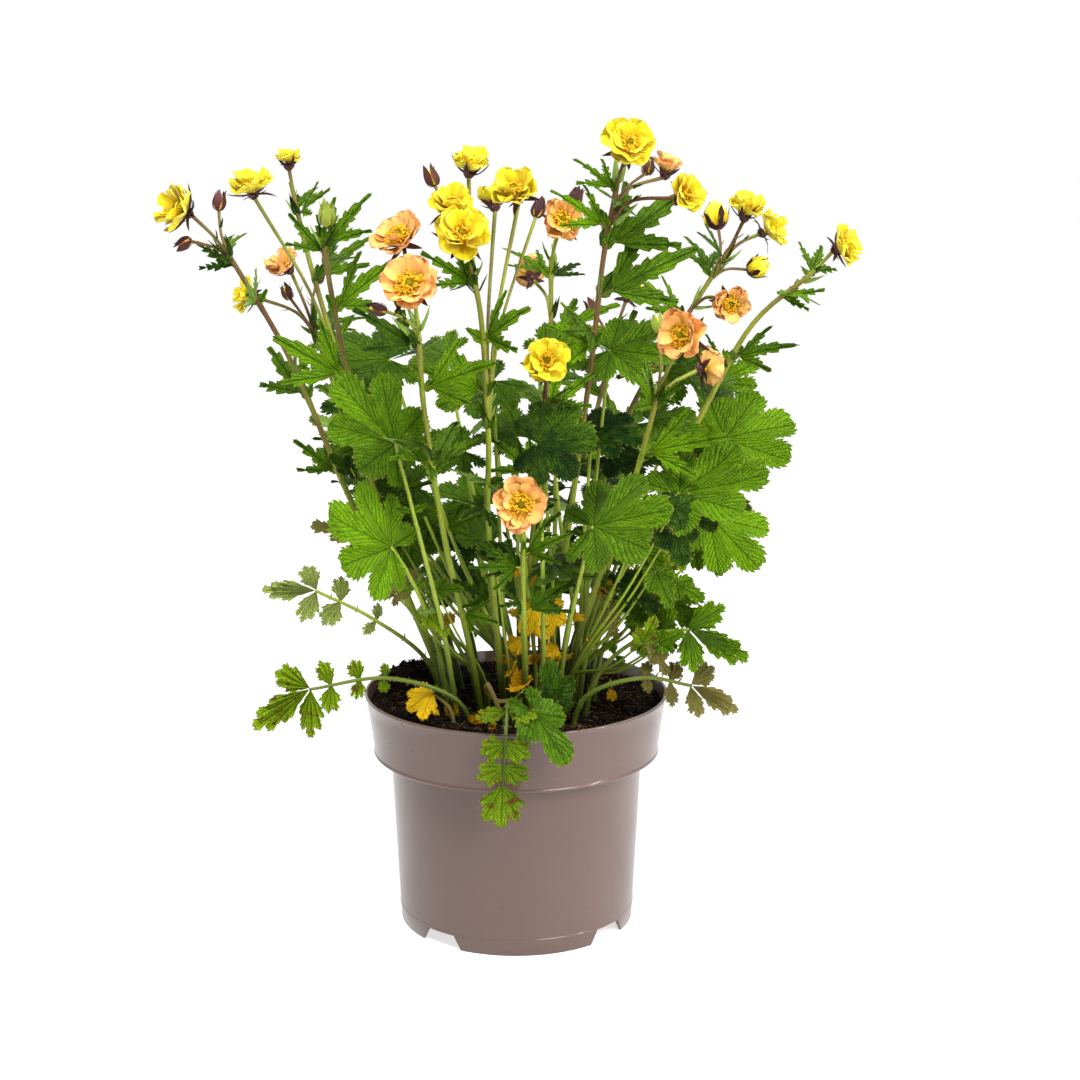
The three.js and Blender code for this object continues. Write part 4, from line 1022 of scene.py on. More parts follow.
def chained_pairs(piece, end, along, spec, tone, rng, shades):
    """The rib past the stalk with its further pairs. Returns where the end starts."""
    forward, left, up = blade_axes(along, spec["face"])
    tube(piece, [end, end + along * CHAIN_END * 0.5, end + along * (CHAIN_END + 0.06)],
         [1.05, 0.9, 0.6], 7, "leaf_stalk")
    for share, size in CHAIN:
        for side in (-1, 1):
            spread = 0.5 * forward + side * left + rng.uniform(-0.1, 0.25) * up
            fan_blade(piece, end + along * share, blade_axes(spread, up),
                      size * rng.uniform(0.88, 1.1), tone + rng.uniform(-0.3, 0.3), rng, 0.86, shades)
    return end + along * CHAIN_END


def side_leaflets(piece, way, spec, tone, rng, shades, wedged):
    """The pairs of leaflets along a leaf's stalk, and the tiny ones between them."""
    for share, size in spec["pairs"]:
        forward, left, up = blade_axes(way.direction(share), spec["face"])
        origin = way.at(share) + forward * 0.12 * size
        for side in (-1, 1):
            along = 0.28 * forward + 0.96 * side * left + rng.uniform(-0.1, 0.3) * up
            axes = blade_axes(along, up - 0.25 * side * left)
            reach = size * rng.uniform(0.92, 1.08)
            shift = tone + rng.uniform(-0.2, 0.3)
            if wedged:
                fan_blade(piece, origin, axes, reach, shift, rng, rng.uniform(0.45, 0.65), shades,
                          curl=rng.uniform(0.1, 0.6))
            else:
                single_blade(piece, origin, axes, reach, LEAFLET if size > 10 else STIPULE, shift, rng,
                             shades=shades, curl=rng.uniform(-0.1, 0.3))
    for share in np.arange(0.4, 0.95, 0.13):
        if spec["pairs"] and all(abs(share - taken) > 0.06 for taken, _ in spec["pairs"]):
            forward, left, up = blade_axes(way.direction(share), spec["face"])
            for side in (-1, 1):
                along = 0.5 * forward + side * left + 0.3 * up
                single_blade(piece, way.at(share), blade_axes(along, up), rng.uniform(2.2, 4.6),
                             BRACT, tone, rng, shades=shades)


def leaf_shades(name):
    """The shades of a leaf's upper side and underside."""
    if name.startswith("withered"):
        return "withered_leaf", "withered_leaf_under"
    if name == "leaf_rim_right":
        return "brown_leaf", "brown_leaf"
    if name in ("leaf_over_rim", "leaf_rim_left"):
        return "low_leaf", "leaf_under"
    if name == "leaf_low_left":
        return "grey_leaf", "leaf_under"
    return "leaf", "leaf_under"


def basal_leaf(name, spec):
    """A basal leaf: its stalk, pairs of side leaflets and the end leaflet."""
    rng = np.random.default_rng(seed_of(name))
    piece = Piece()
    withered = name.startswith("withered")
    wedged = name in WEDGED
    shades = leaf_shades(name)
    way = Way(spec["way"])
    steps = np.linspace(0, 1, 26)
    radii = LEAF_STALK_RADIUS * (1.12 - 0.5 * steps) * (1 + 0.5 * np.exp(-steps * 12))
    rings = tube(piece, way.at(steps), radii, 9, "brown_leaf" if withered else "leaf_stalk",
                 ridge=0.05)
    if not withered:
        hairs_on(piece, *rings, int(1.5 * way.length), 0.9, rng, first=0.3)
    # The tone sets the leaf's brightness, partly painted light and shade
    tone = LEAF_TONES_AND_PAINTED_SHADE.get(name, rng.uniform(-0.5, 0.6))
    side_leaflets(piece, way, spec, tone, rng, shades, wedged)
    end = way.at(1.0)
    along = np.array(spec["tip"], float) - end
    if name == "leaf_over_rim":
        end = chained_pairs(piece, end, along, spec, tone, rng, shades)
        along = np.array(spec["tip"], float) - end
    axes = blade_axes(along, spec["face"])
    length = np.linalg.norm(along)
    small = spec["width"] <= SMALL_WIDTH
    if name == "leaf_over_rim":
        fan_blade(piece, end, axes, length, tone, rng, 0.9, shades)
    elif withered:
        fan_blade(piece, end, axes, length, tone, rng, 1.35, shades, wave=5.0, curl=0.5)
    elif wedged:
        low_end(piece, end, axes, length, tone, rng, shades)
    else:
        end_leaflet(piece, end, axes, length, spec["width"], 2 if small else 3, tone, rng, shades,
                    style=SMALL_BASAL if small else BASAL, wave=1.7, curl=rng.uniform(-0.1, 0.2))
    piece.make("fine_" + name, "withered_leaf" if withered else "leaf", [name])


# Flowers


class Seat:
    """The place of a flower. Its own frame has +Z facing out of it."""

    def __init__(self, centre, facing):
        turn = Vector((0, 0, 1)).rotation_difference(Vector(facing).normalized())
        self.turned = np.array(turn.to_matrix())
        self.centre = np.array(centre, float)

    def put(self, points):
        """Points of the flower's own frame in the plant's."""
        return points @ self.turned.T + self.centre

    def axis(self, heights):
        return self.put(ring(0 * heights, 0, heights))


def petal(piece, seat, turn, line, widths, shade, rng, cup=0.3, twist=0.0, ruffle=0.0, thick=0.24,
          columns=11):
    """A petal or sepal as a thin closed shell. line is its middle, [radius, height] from root to
    tip, and widths its half widths there."""
    rows = len(line)
    share = np.linspace(0, 1, rows)[:, None]
    across = np.linspace(-1, 1, columns)[None, :]
    widest = max(widths)
    half = widths[:, None]
    phase = rng.uniform(0, FULL_TURN, 3)
    reach = line[-1, 0] - line[0, 0]
    open_share = half / widest
    radius = line[:, :1] - 0.12 * reach * across ** 2 * share ** 2 * open_share
    wave = np.sin(across * 4.1 + phase[0]) * share ** 4 * open_share
    radius = radius + ruffle * 0.16 * reach * wave
    side = half * across
    height = line[:, 1:] + cup * side ** 2 / widest + twist * side
    wave = (np.sin(across * 3.6 + phase[1]) + 0.6 * np.sin(across * 8 + phase[2])) * share ** 2
    height = height + ruffle * 0.4 * widest * wave * open_share
    inner = (1 - np.abs(across) ** 5) * np.minimum(1, share * 8) * np.minimum(1, (1 - share) * 8)
    thickness = thick / 2 * inner
    slope = np.gradient(line, axis=0)
    slope /= np.maximum(np.linalg.norm(slope, axis=1), 1e-6)[:, None]
    cosine = math.cos(turn)
    sine = math.sin(turn)
    faces = grid_triangles(rows, columns)
    points = []
    for sign in (1, -1):
        r = radius - sign * thickness * slope[:, 1:]
        z = height + sign * thickness * slope[:, :1]
        local = np.stack([r * cosine - side * sine, r * sine + side * cosine, z], -1)
        points.append(seat.put(local.reshape(-1, 3)))
    values = {"along": np.tile(np.repeat(share, columns, 1).ravel(), 2),
              "across": np.tile(np.repeat(across, rows, 0).ravel(), 2)}
    points, triangles, values, _ = welded(
        np.concatenate(points), np.concatenate([faces, faces[:, ::-1] + rows * columns]), values)
    piece.add(points, triangles, shade, tone=rng.uniform(-1, 1), **values)


# Rows of a petal, closer together towards its round tip
PETAL_ROWS = np.sin(np.linspace(0, math.pi / 2, 11))
PETAL_WIDEST = 0.6
PETAL_CLAW = 0.26


def petal_line(root, reach, low, rise, bend, curl):
    """Middle line of a petal: out from its root while it rises, with the tip turned back."""
    radius = root + (reach - root) * PETAL_ROWS
    height = low + (rise - low) * PETAL_ROWS ** bend - curl * PETAL_ROWS ** 5
    return np.stack([radius, height], 1)


def petal_widths(widest):
    """Half widths of a petal: a claw that widens, and a round end."""
    grow = np.clip(PETAL_ROWS / PETAL_WIDEST, 0, 1)
    grow = PETAL_CLAW + (1 - PETAL_CLAW) * grow * grow * (3 - 2 * grow)
    end = np.clip((PETAL_ROWS - PETAL_WIDEST) / (1 - PETAL_WIDEST), 0, 1)
    return widest * np.where(PETAL_ROWS > PETAL_WIDEST, np.sqrt(1 - end ** 2.3), grow)


# Layers of a bloom: petals, reach, root radius, root height, height of the tips, bend, and half
# width, where reach, tip height and width are shares of the bloom's radius
LAYERS = {
    "small": [
        [5, 0.98, 2.2, 0.0, 0.5, 1.15, 0.58],
        [5, 0.82, 2.0, 0.6, 0.78, 0.9, 0.5],
        [3, 0.5, 1.6, 1.0, 0.8, 0.8, 0.36],
    ],
    "yellow": [
        [6, 1.0, 2.6, 0.2, 0.42, 1.5, 0.44],
        [6, 0.86, 2.4, 0.9, 0.66, 1.2, 0.37],
        [4, 0.62, 2.2, 1.6, 0.8, 1.0, 0.28],
    ],
    "apricot": [
        [7, 1.0, 2.8, 0.2, 0.44, 1.4, 0.42],
        [5, 0.84, 2.6, 0.9, 0.66, 1.1, 0.36],
        [2, 0.66, 2.4, 1.4, 0.7, 1.0, 0.24],
    ],
}
# How far the stamens spread, as shares of the bloom's radius
BOSS_SPREAD = {"small": 0.37, "yellow": 0.37, "apricot": 0.5}


def bloom(node, centre, facing, radius, colour):
    """The petals and stamens of one bloom."""
    rng = np.random.default_rng(seed_of(node))
    piece = Piece()
    seat = Seat(centre, facing)
    kind = "small" if radius < SMALL_BLOOM_RADIUS else colour
    first = rng.uniform(0, FULL_TURN)
    scale = min(1, radius / 15)
    for number, (count, reach, root, low, rise, bend, width) in enumerate(LAYERS[kind]):
        for i in range(count):
            turn = first + FULL_TURN * (i + 0.5 * (number % 2)) / count + rng.normal(0, 0.13)
            long = reach * radius * rng.uniform(0.84, 1.02)
            tip = rise * radius * rng.uniform(0.55, 1.35)
            line = petal_line(root * scale, long, low * scale, tip, bend,
                              rng.uniform(-0.05, 0.14) * radius)
            widths = petal_widths(width * radius * rng.uniform(0.88, 1.08))
            petal(piece, seat, turn, line, widths, "petal_" + colour, rng,
                  cup=rng.uniform(0.3, 0.85), twist=rng.uniform(-0.1, 0.25), ruffle=1.0)
    boss(piece, seat, scale, BOSS_SPREAD[kind] * radius, rng)
    piece.make("fine_" + node, "petal_" + colour, [node])


def boss(piece, seat, scale, spread, rng):
    """Stamens out to a spread round a dome of green styles."""

    def filaments(feet, tips, thick, shade):
        rods(piece, seat.put(feet), seat.put(tips), thick, shade, rng.uniform(-1, 1, len(feet)))

    count = int(18 * spread)
    turn = rng.uniform(0, FULL_TURN, count)
    out = rng.uniform(0, 1, count)
    reach = 2.4 * scale + (spread - 2.4 * scale) * out
    tips = ring(turn, reach, (7.2 - 1.6 * out + rng.normal(0, 0.4, count)) * scale)
    filaments(ring(turn, 1.9, 1.6) * scale, tips, 0.17, "stamen")
    grains(piece, seat.put(tips), rng.uniform(0.5, 0.85, (count, 3)), "anther",
           rng.uniform(-1, 1, count))
    count = int(42 * scale)
    turn = np.arange(count) * GOLDEN_TURN
    out = np.sqrt((np.arange(count) + 0.5) / count)
    dome = 1 - out ** 2
    feet = ring(turn, out * 1.6, 1.0 + 1.2 * dome) * scale
    tips = ring(turn, out * 2.5, 5.4 + 1.6 * dome + rng.normal(0, 0.2, count)) * scale
    filaments(feet, tips, 0.15, "pistil")
    grains(piece, seat.put(tips), np.full((count, 3), 0.22), "pistil", rng.uniform(-1, 1, count))
    heights = np.array([-1.0, -0.4, 0.6, 1.6, 2.3]) * scale
    tube(piece, seat.axis(heights), np.array([1.2, 2.6, 2.4, 1.7, 0.5]) * scale, 10, "pistil")


def sepals(piece, seat, reach, rng, lift):
    """Cup under a bloom with five long pointed sepals and five small ones between them."""
    cup = seat.axis(np.array([-5.4, -4.4, -3.2, -2.0, -1.1]))
    rings = tube(piece, cup, [1.15, 2.3, 3.2, 3.5, 2.9], 12, "sepal", ridge=0.04)
    hairs_on(piece, *rings, 70, 0.8, rng)
    first = rng.uniform(0, FULL_TURN)
    share = np.linspace(0, 1, 7)
    for i in range(10):
        long = i % 2 == 0
        turn = first + FULL_TURN * i / 10 + rng.normal(0, 0.05)
        out = reach * (1.0 if long else 0.55) * rng.uniform(0.85, 1.12)
        radius = 1.6 + (out - 1.6) * share
        dip = -2.3 if long else -3.0
        height = dip + (lift * share ** 2 + rng.uniform(-1.6, 0.8) * share ** 3) * reach * 0.3
        half = (2.6 if long else 1.1) * (1 - share) ** 0.85 * (0.75 + 0.9 * share) + 0.06
        petal(piece, seat, turn, np.stack([radius, height], 1), half, "sepal", rng,
              cup=0.25, twist=0.03, thick=0.3, columns=5)


def half_open_bud(piece, seat, length, rng):
    """Two layers of five petals that lean together, half covered by five sepals."""
    share = np.linspace(0, 1, 9)
    bulge = np.sin(np.clip(0.1 + 0.84 * share, 0, 1) ** 0.8 * math.pi) ** 0.6
    half = 0.34 * length * (np.sin(math.pi * (0.14 + 0.84 * share)) + 0.02)
    first = rng.uniform(0, FULL_TURN)
    for layer, (wide, high) in enumerate(((0.42, 1.06), (0.36, 1.0))):
        for i in range(5):
            turn = first + FULL_TURN * (i + 0.5 * layer) / 5
            rise = -0.4 + high * rng.uniform(0.9, 1.05) * share
            petal(piece, seat, turn, np.stack([wide * bulge, rise], 1) * length, half,
                  "petal_yellow", rng, cup=-0.2, ruffle=0.5, columns=7)
    share = np.linspace(0, 1, 8)
    bulge = 0.18 + 0.34 * np.sin(share * 1.9) ** 0.6 + 0.16 * share ** 5
    half = 0.26 * length * (1 - share) ** 0.8 * (0.5 + share) + 0.06
    for i in range(5):
        rise = -0.48 + rng.uniform(0.62, 0.82) * share
        petal(piece, seat, first + FULL_TURN * (i + 0.25) / 5, np.stack([bulge, rise], 1) * length,
              half, "sepal", rng, cup=-0.1, thick=0.3, columns=5)
    tube(piece, seat.axis(np.array([-0.56, -0.52, -0.46, -0.36]) * length),
         np.array([0.08, 0.18, 0.26, 0.2]) * length, 9, "sepal")


def bud(piece, seat, length, rng):
    """A closed bud: a pointed core of petals held by five sepals."""
    heights = np.linspace(-0.46, 0.47, 10)
    bulge = np.sin(np.clip((heights + 0.5) / 0.99, 0, 1) ** 0.75 * math.pi) ** 0.7
    core = rng.choice(["petal_yellow", "petal_apricot", "bud_green"], p=[0.6, 0.3, 0.1])
    tube(piece, seat.axis(heights * length), 0.29 * length * bulge + 0.1, 12, str(core), ridge=0.04,
         tone=rng.uniform(-1, 1))
    first = rng.uniform(0, FULL_TURN)
    shade = "sepal" if rng.uniform() < 0.92 else "bud_green"
    share = np.linspace(0, 1, 8)
    bulge = 0.315 * length * np.sin(np.clip(0.08 + 0.92 * share, 0, 1) ** 0.75 * math.pi) ** 0.7
    half = 0.21 * length * (np.sin(math.pi * (0.12 + 0.86 * share)) + 0.02)
    for i in range(5):
        height = (-0.45 + rng.uniform(1.0, 1.2) * share) * length
        radius = bulge + 0.35 + rng.uniform(0.1, 0.42) * length * share ** 6
        petal(piece, seat, first + FULL_TURN * i / 5, np.stack([radius, height], 1), half, shade,
              rng, cup=0.0, thick=0.3, columns=5)
    rings = tube(piece, seat.axis(np.array([-0.5, -0.46, -0.4, -0.32]) * length),
                 np.array([0.06, 0.14, 0.19, 0.2]) * length, 9, "sepal")
    hairs_on(piece, *rings, 24, 0.8, rng)


# Flowering stems


def pedicel_way(axis, height, end):
    """The line of a flower's stalk, which leaves its stem along the stem's own direction."""
    share = axis.share_at(height)
    start = axis.at(share)
    lean = axis.direction(share) * np.linalg.norm(end - start) * PEDICEL_LEAN
    return Way([start, start + (end - start) * PEDICEL_BEND + lean, end])


def pedicel(piece, axis, height, end, radius, rng, tone):
    way = pedicel_way(axis, height, end)
    steps = np.linspace(0, 1, 12)
    radii = radius * (1.12 - 0.2 * np.sin(math.pi * steps))
    rings = tube(piece, way.at(steps), radii, 7, "stem", ridge=0.05, tone=tone)
    hairs_on(piece, *rings, int(1.6 * way.length), 0.85, rng)
    return way


# The stems whose buds show their petals, and how much longer those buds are
HALF_OPEN = ("right",)
HALF_OPEN_GROWTH = 1.2
# How many leaves each stem has besides its placed ones, and the height they start from
MORE_LEAVES = 4
MORE_LEAVES_FROM = 215
# The reach of the sepals as a share of a bloom's radius, and how they lift round small and open
# blooms
SEPAL_REACH = 0.98
SEPAL_LIFT = 2.6
OPEN_SEPAL_LIFT = 0.6


def flowering_stem(key, spec):
    """A stem with its pedicels, sepals and buds; its leaves; and each of its blooms."""
    rng = np.random.default_rng(seed_of(key))
    piece = Piece()
    leafage = Piece()
    axis = Way(spec["way"])
    tone = rng.uniform(-1, 1)
    steps = np.linspace(0, 1, 44)
    radii = STEM_RADIUS * (1.12 - 0.36 * steps)
    for height, *_ in spec["leaves"]:
        radii = radii * (1 + 0.2 * np.exp(-((steps - axis.share_at(height)) * axis.length / 3) ** 2))
    rings = tube(piece, axis.at(steps), radii, 10, "stem", ridge=0.05, tone=tone)
    hairs_on(piece, *rings, int(1.3 * axis.length), 0.9, rng, first=0.3)
    for centre, facing, radius, _, height in spec["blooms"]:
        end = np.array(centre) - PEDICEL_SINK * unit(np.array(facing))
        way = pedicel(piece, axis, height, end, PEDICEL_RADIUS, rng, tone)
        lift = SEPAL_LIFT if radius < SMALL_BLOOM_RADIUS else OPEN_SEPAL_LIFT
        sepals(piece, Seat(centre, facing), SEPAL_REACH * radius, rng, lift)
        bract(leafage, way, rng)
    for centre, facing, length, height in spec["buds"]:
        end = np.array(centre) - BUD_FOOT * length * unit(np.array(facing))
        way = pedicel(piece, axis, height, end, BUD_PEDICEL_RADIUS, rng, tone)
        if key in HALF_OPEN:
            half_open_bud(piece, Seat(centre, facing), HALF_OPEN_GROWTH * length, rng)
        else:
            bud(piece, Seat(centre, facing), length, rng)
        bract(leafage, way, rng)
    for height, turn, rise, length in spec["leaves"]:
        at = axis.at(axis.share_at(height))
        shade = rng.uniform(-0.3, 1.0)
        stem_leaf(leafage, at, heading(turn, rise), length, shade, rng)
        for side in (-1, 1):
            along = heading(turn + side * rng.uniform(45, 75), rise + rng.uniform(0, 25))
            size = length * rng.uniform(0.26, 0.36)
            axes = blade_axes(along, STEM_LEAF_FACE + STEM_LEAF_FACE_OUT * heading(turn, 0))
            single_blade(leafage, at, axes, size, STIPULE, shade, rng)
    highest = max(height for height, *_ in spec["leaves"])
    levels = np.linspace(MORE_LEAVES_FROM, min(axis.at(1.0)[2] - 12, highest + 8), MORE_LEAVES)
    for height in levels + rng.uniform(-9, 9, MORE_LEAVES):
        at = axis.at(axis.share_at(height))
        turn = math.degrees(math.atan2(at[1], at[0])) + rng.uniform(-150, 150)
        stem_leaf(leafage, at, heading(turn, rng.uniform(-5, 40)), rng.uniform(24, 38),
                  rng.uniform(-0.7, 0.7), rng)
    piece.make("fine_stem_" + key, "stem", ["stem_" + key])
    leafage.make("stem_leaves_" + key, "leaf", ["stem_" + key])
    for i, item in enumerate(spec["blooms"]):
        bloom(f"bloom_{key}_{i + 1}", *item[:4])


def heading(turn, rise):
    """The direction with a turn from +X and a rise above the level, in degrees."""
    turn = math.radians(turn)
    rise = math.radians(rise)
    return np.array([math.cos(turn) * math.cos(rise), math.sin(turn) * math.cos(rise),
                     math.sin(rise)])


def bract(piece, way, rng):
    """A small pointed leaf where a pedicel leaves its stem, and another on its way."""
    for share, size in ((0.03, rng.uniform(13, 21)), (0.05, rng.uniform(9, 15)),
                        (rng.uniform(0.35, 0.6), rng.uniform(4, 8))):
        forward = way.direction(share)
        sideways = unit(np.cross(forward, rng.normal(0, 1, 3)))
        along = forward * 0.8 + sideways * 0.7
        axes = blade_axes(along, sideways + 0.3 * forward)
        single_blade(piece, way.at(share), axes, size, BRACT, rng.uniform(-0.8, 0.2), rng)


# Leaves in the middle of the tuft: [height, from x, to x, how many]
INNER_ROWS = [
    [212, -42, 78, 5], [240, -62, 98, 7], [268, -78, 112, 8], [296, -88, 124, 8],
    [324, -92, 118, 7], [352, -84, 96, 6],
]


def thin_stalk(piece, way, steps, radius, taper, sides):
    """The stalk of a leaf in the tuft, which thins by taper to its end."""
    shares = np.linspace(0, 1, steps)
    tube(piece, way.at(shares), radius - taper * shares, sides, "leaf_stalk", ridge=0.05)


def inner_leaves():
    """A piece for each row of leaves in the middle of the tuft."""
    rng = np.random.default_rng(23)
    for number, (height, low, high, count) in enumerate(INNER_ROWS):
        piece = Piece()
        for x in np.linspace(low, high, count) + rng.uniform(-9, 9, count):
            end = np.array([x, rng.uniform(-45, 62), height + rng.uniform(-12, 12)])
            out = unit(np.array([end[0] - 8, end[1], 0.01]))
            foot = np.array([14 + 22 * out[0], 20 * out[1] - 6, STALK_FOOT_LEVEL])
            way = Way([foot, foot * [1.1, 1.1, 1] + [0, 0, 34],
                       foot * 0.45 + end * 0.55 + [0, 0, 6], end])
            thin_stalk(piece, way, 18, 1.45, 0.5, 7)
            size = rng.uniform(27, 38)
            along = out * [1, 1, 0] + [0, -0.25, rng.uniform(-0.3, 0.5)]
            face = np.array([0, -0.75, 0.6]) + 0.3 * out
            end_leaflet(piece, end, blade_axes(along, face), size, size * rng.uniform(1.2, 1.5),
                        3, rng.uniform(-0.9, 0.3), rng, style=INNER, curl=rng.uniform(-0.1, 0.25))
        piece.make(f"inner_leaves_{number + 1}", "leaf")


# Small leaves low in the tuft, each on a thin stalk of its own: [end of the stalk, tip, width,
# brightness, shade of the upper side]. A low brightness is partly painted shade, for the leaves
# that lie in shadow
SMALL_LEAVES = [
    [[84, -52, 236], [94, -58, 217], 20, 0.1, "leaf"],
    [[69, -42, 226], [84, -50, 213], 22, -0.8, "leaf"],
    [[63, -40, 228], [76, -44, 233], 15, -0.9, "leaf"],
    [[97, -45, 227], [112, -50, 219], 16, 0.5, "leaf"],
    [[76, -60, 194], [83, -64, 209], 15, 0.3, "low_leaf"],
    [[86, -62, 194], [98, -66, 202], 15, 0.5, "leaf"],
    [[84, -62, 190], [90, -66, 178], 12, -0.3, "brown_leaf"],
    [[71, -50, 254], [82, -56, 242], 20, -0.8, "leaf"],
    [[94, -64, 266], [99, -72, 246], 30, -0.75, "leaf"],
    [[93, -70, 278], [116, -78, 270], 24, -0.6, "leaf"],
    [[109, -30, 242], [125, -34, 232], 15, 0.7, "leaf"],
    [[90, -40, 243], [102, -43, 236], 7, 0.9, "low_leaf"],
    [[57, -38, 208], [60, -42, 194], 12, -0.2, "brown_leaf"],
    [[-72, -40, 220], [-62, -44, 233], 15, 0.0, "brown_leaf"],
    [[-58, -45, 208], [-50, -48, 211], 7, -0.4, "leaf_under"],
    [[-53, -46, 208], [-42, -52, 199], 14, 0.6, "low_leaf"],
    [[-47, -50, 224], [-34, -56, 227], 11, 0.2, "leaf"],
    [[-103, -30, 256], [-121, -32, 260], 11, -0.4, "brown_leaf"],
    [[-12, -60, 250], [3, -66, 245], 14, -0.7, "leaf"],
    [[-104, -12, 316], [-123, -14, 323], 12, 0.0, "leaf_under"],
    [[-100, -20, 293], [-111, -22, 301], 13, -0.6, "leaf"],
    [[46, 44, 196], [60, 56, 190], 20, -0.2, "leaf"],
    [[-26, 50, 200], [-36, 66, 196], 22, -0.1, "leaf"],
    [[12, 52, 190], [14, 70, 180], 22, 0.2, "low_leaf"],
    [[70, 24, 208], [88, 30, 204], 20, 0.1, "leaf"],
    [[-62, 26, 214], [-80, 32, 210], 20, 0.2, "leaf"],
]


def small_leaves():
    """The small leaves low in the tuft, as one piece."""
    rng = np.random.default_rng(31)
    piece = Piece()
    for end, tip, width, tone, shade in SMALL_LEAVES:
        end = np.array(end, float)
        out = unit(np.array([end[0] - 4, end[1], 0.0]))
        foot = np.array([6 + 30 * out[0], 24 * out[1] - 10, STALK_FOOT_LEVEL])
        way = Way([foot, foot + [5 * out[0], 5 * out[1], 30],
                   foot * 0.4 + end * 0.6 + [0, 0, 5], end])
        thin_stalk(piece, way, 16, 1.05, 0.4, 6)
        along = np.array(tip, float) - end
        length = np.linalg.norm(along)
        face = np.array([rng.uniform(-0.3, 0.3), -0.85, rng.uniform(0.2, 0.6)])
        face = face if end[1] < 0 else face * [1, -1, 1.4]
        under = "brown_leaf" if shade == "brown_leaf" else "leaf_under"
        end_leaflet(piece, end, blade_axes(along, face), length, max(width, 0.8 * length), 2, tone, rng,
                    (shade, under), style=TINY, wave=1.6, curl=rng.uniform(-0.1, 0.3))
    piece.make("small_leaves", "leaf")


# Bits of yellowed leaves among the stalks: [centre, length]
SCRAPS = [
    [[1.5, -34, 185], 13], [[3, -44, 162], 14], [[11, -28, 198], 12], [[52, -22, 217], 9],
    [[-3, -40, 172], 10], [[8, -38, 152], 11], [[-40, -44, 146], 9], [[-24, -58, 145], 6],
    [[24, -36, 150], 8], [[30, -30, 176], 9], [[-14, -66, 144], 5], [[60, -20, 150], 6],
    [[0, -36, 206], 9], [[16, -34, 178], 12], [[46, -30, 190], 10], [[37, -28, 202], 8],
    [[16, -30, 196], 11], [[-1, -30, 232], 8], [[13, -30, 224], 9], [[59, -28, 224], 8],
    [[3, -45, 167], 12], [[-40, -26, 200], 7], [[-7, -30, 175], 11], [[22, -40, 184], 9],
]
DEAD_STALK = [[-5, -56, 139], [-9, -58, 150], [-14, -56, 162], [-17, -54, 167], [-17, -52, 162],
              [-11, -53, 156], [-1, -55, 157]]


def scraps():
    """Crumpled bits of yellowed leaves and a curled dead stalk, as one piece."""
    rng = np.random.default_rng(9)
    piece = Piece()
    for centre, length in SCRAPS:
        along = rng.normal(0, 1, 3) * [1, 0.5, 1]
        face = np.array([rng.normal(0, 0.4), -1, rng.normal(0, 0.5)])
        fan_blade(piece, np.array(centre, float) - unit(along) * length * 0.5,
                  blade_axes(along, face), length, rng.uniform(-0.6, 1), rng,
                  rng.uniform(0.5, 1.2), leaf_shades("withered"), wave=6.0,
                  curl=rng.uniform(-0.3, 0.8))
    curl = Way(DEAD_STALK)
    steps = np.linspace(0, 1, 30)
    tube(piece, curl.at(steps), 1.5 - 0.5 * np.abs(steps - 0.6), 7, "brown_leaf", ridge=0.15)
    piece.make("withered_scraps", "withered_leaf")


# Compost and pot


def compost_height(x, y):
    """The level of the compost without its roughness."""
    inside = np.hypot(x, y) < CROWN_RADIUS + 1
    heap = HEAP_HEIGHT * np.exp(-((x - HEAP_X) ** 2 + (y - HEAP_Y) ** 2) / HEAP_SPREAD ** 2)
    ripple = RIPPLE * np.sin(x * 0.11 + 0.6) * np.cos(y * 0.13)
    return COMPOST_LEVEL + np.where(inside, CROWN_RISE, heap + ripple)


# The compost below its surface: [radius, height] down the inside of the pot
COMPOST_SKIRT = [[87.3, 113.6], [77.4, 113.1], [77.4, 111.4], [72.4, 11.3], [0, 11.3]]


def compost():
    """The compost's rough surface and its body down the inside of the pot."""
    piece = Piece()
    edge = RIM_RADIUS - WALL - 1.8
    radii = np.concatenate([[0], np.linspace(0.9, edge, COMPOST_RINGS)])
    turns = circle(COMPOST_SEGMENTS)
    x = radii[:, None] * np.cos(turns)
    y = radii[:, None] * np.sin(turns)
    rough = np.zeros_like(x)
    for index in np.ndindex(x.shape):
        spot = Vector((x[index], y[index], 3.7))
        rough[index] = (1.5 * noise.noise(spot * 0.11) + 1.15 * noise.noise(spot * 0.33)
                        + 0.7 * abs(noise.noise(spot * 0.8)))
    settle = np.clip((edge - radii) / 3, 0.15, 1)[:, None]
    z = np.minimum(compost_height(x, y) + rough * settle, POT_HEIGHT + 5)
    top = np.stack([x, y, z], -1).reshape(-1, 3)
    skirt = [ring(turns, *place) for place in COMPOST_SKIRT]
    triangles = grid_triangles(len(radii) + len(skirt), len(turns), closed=True)
    points, triangles, _, _ = welded(np.concatenate([top, *skirt]), triangles, {})
    piece.add(points, triangles, "compost")
    piece.make("fine_compost", "compost", ["compost"])


def scattered(rng, count, reach):
    """Random spots on the compost, x and y, evenly spread out to a radius."""
    radius = reach * np.sqrt(rng.uniform(0, 1, count))
    turn = rng.uniform(0, FULL_TURN, count)
    return radius * np.cos(turn), radius * np.sin(turn)


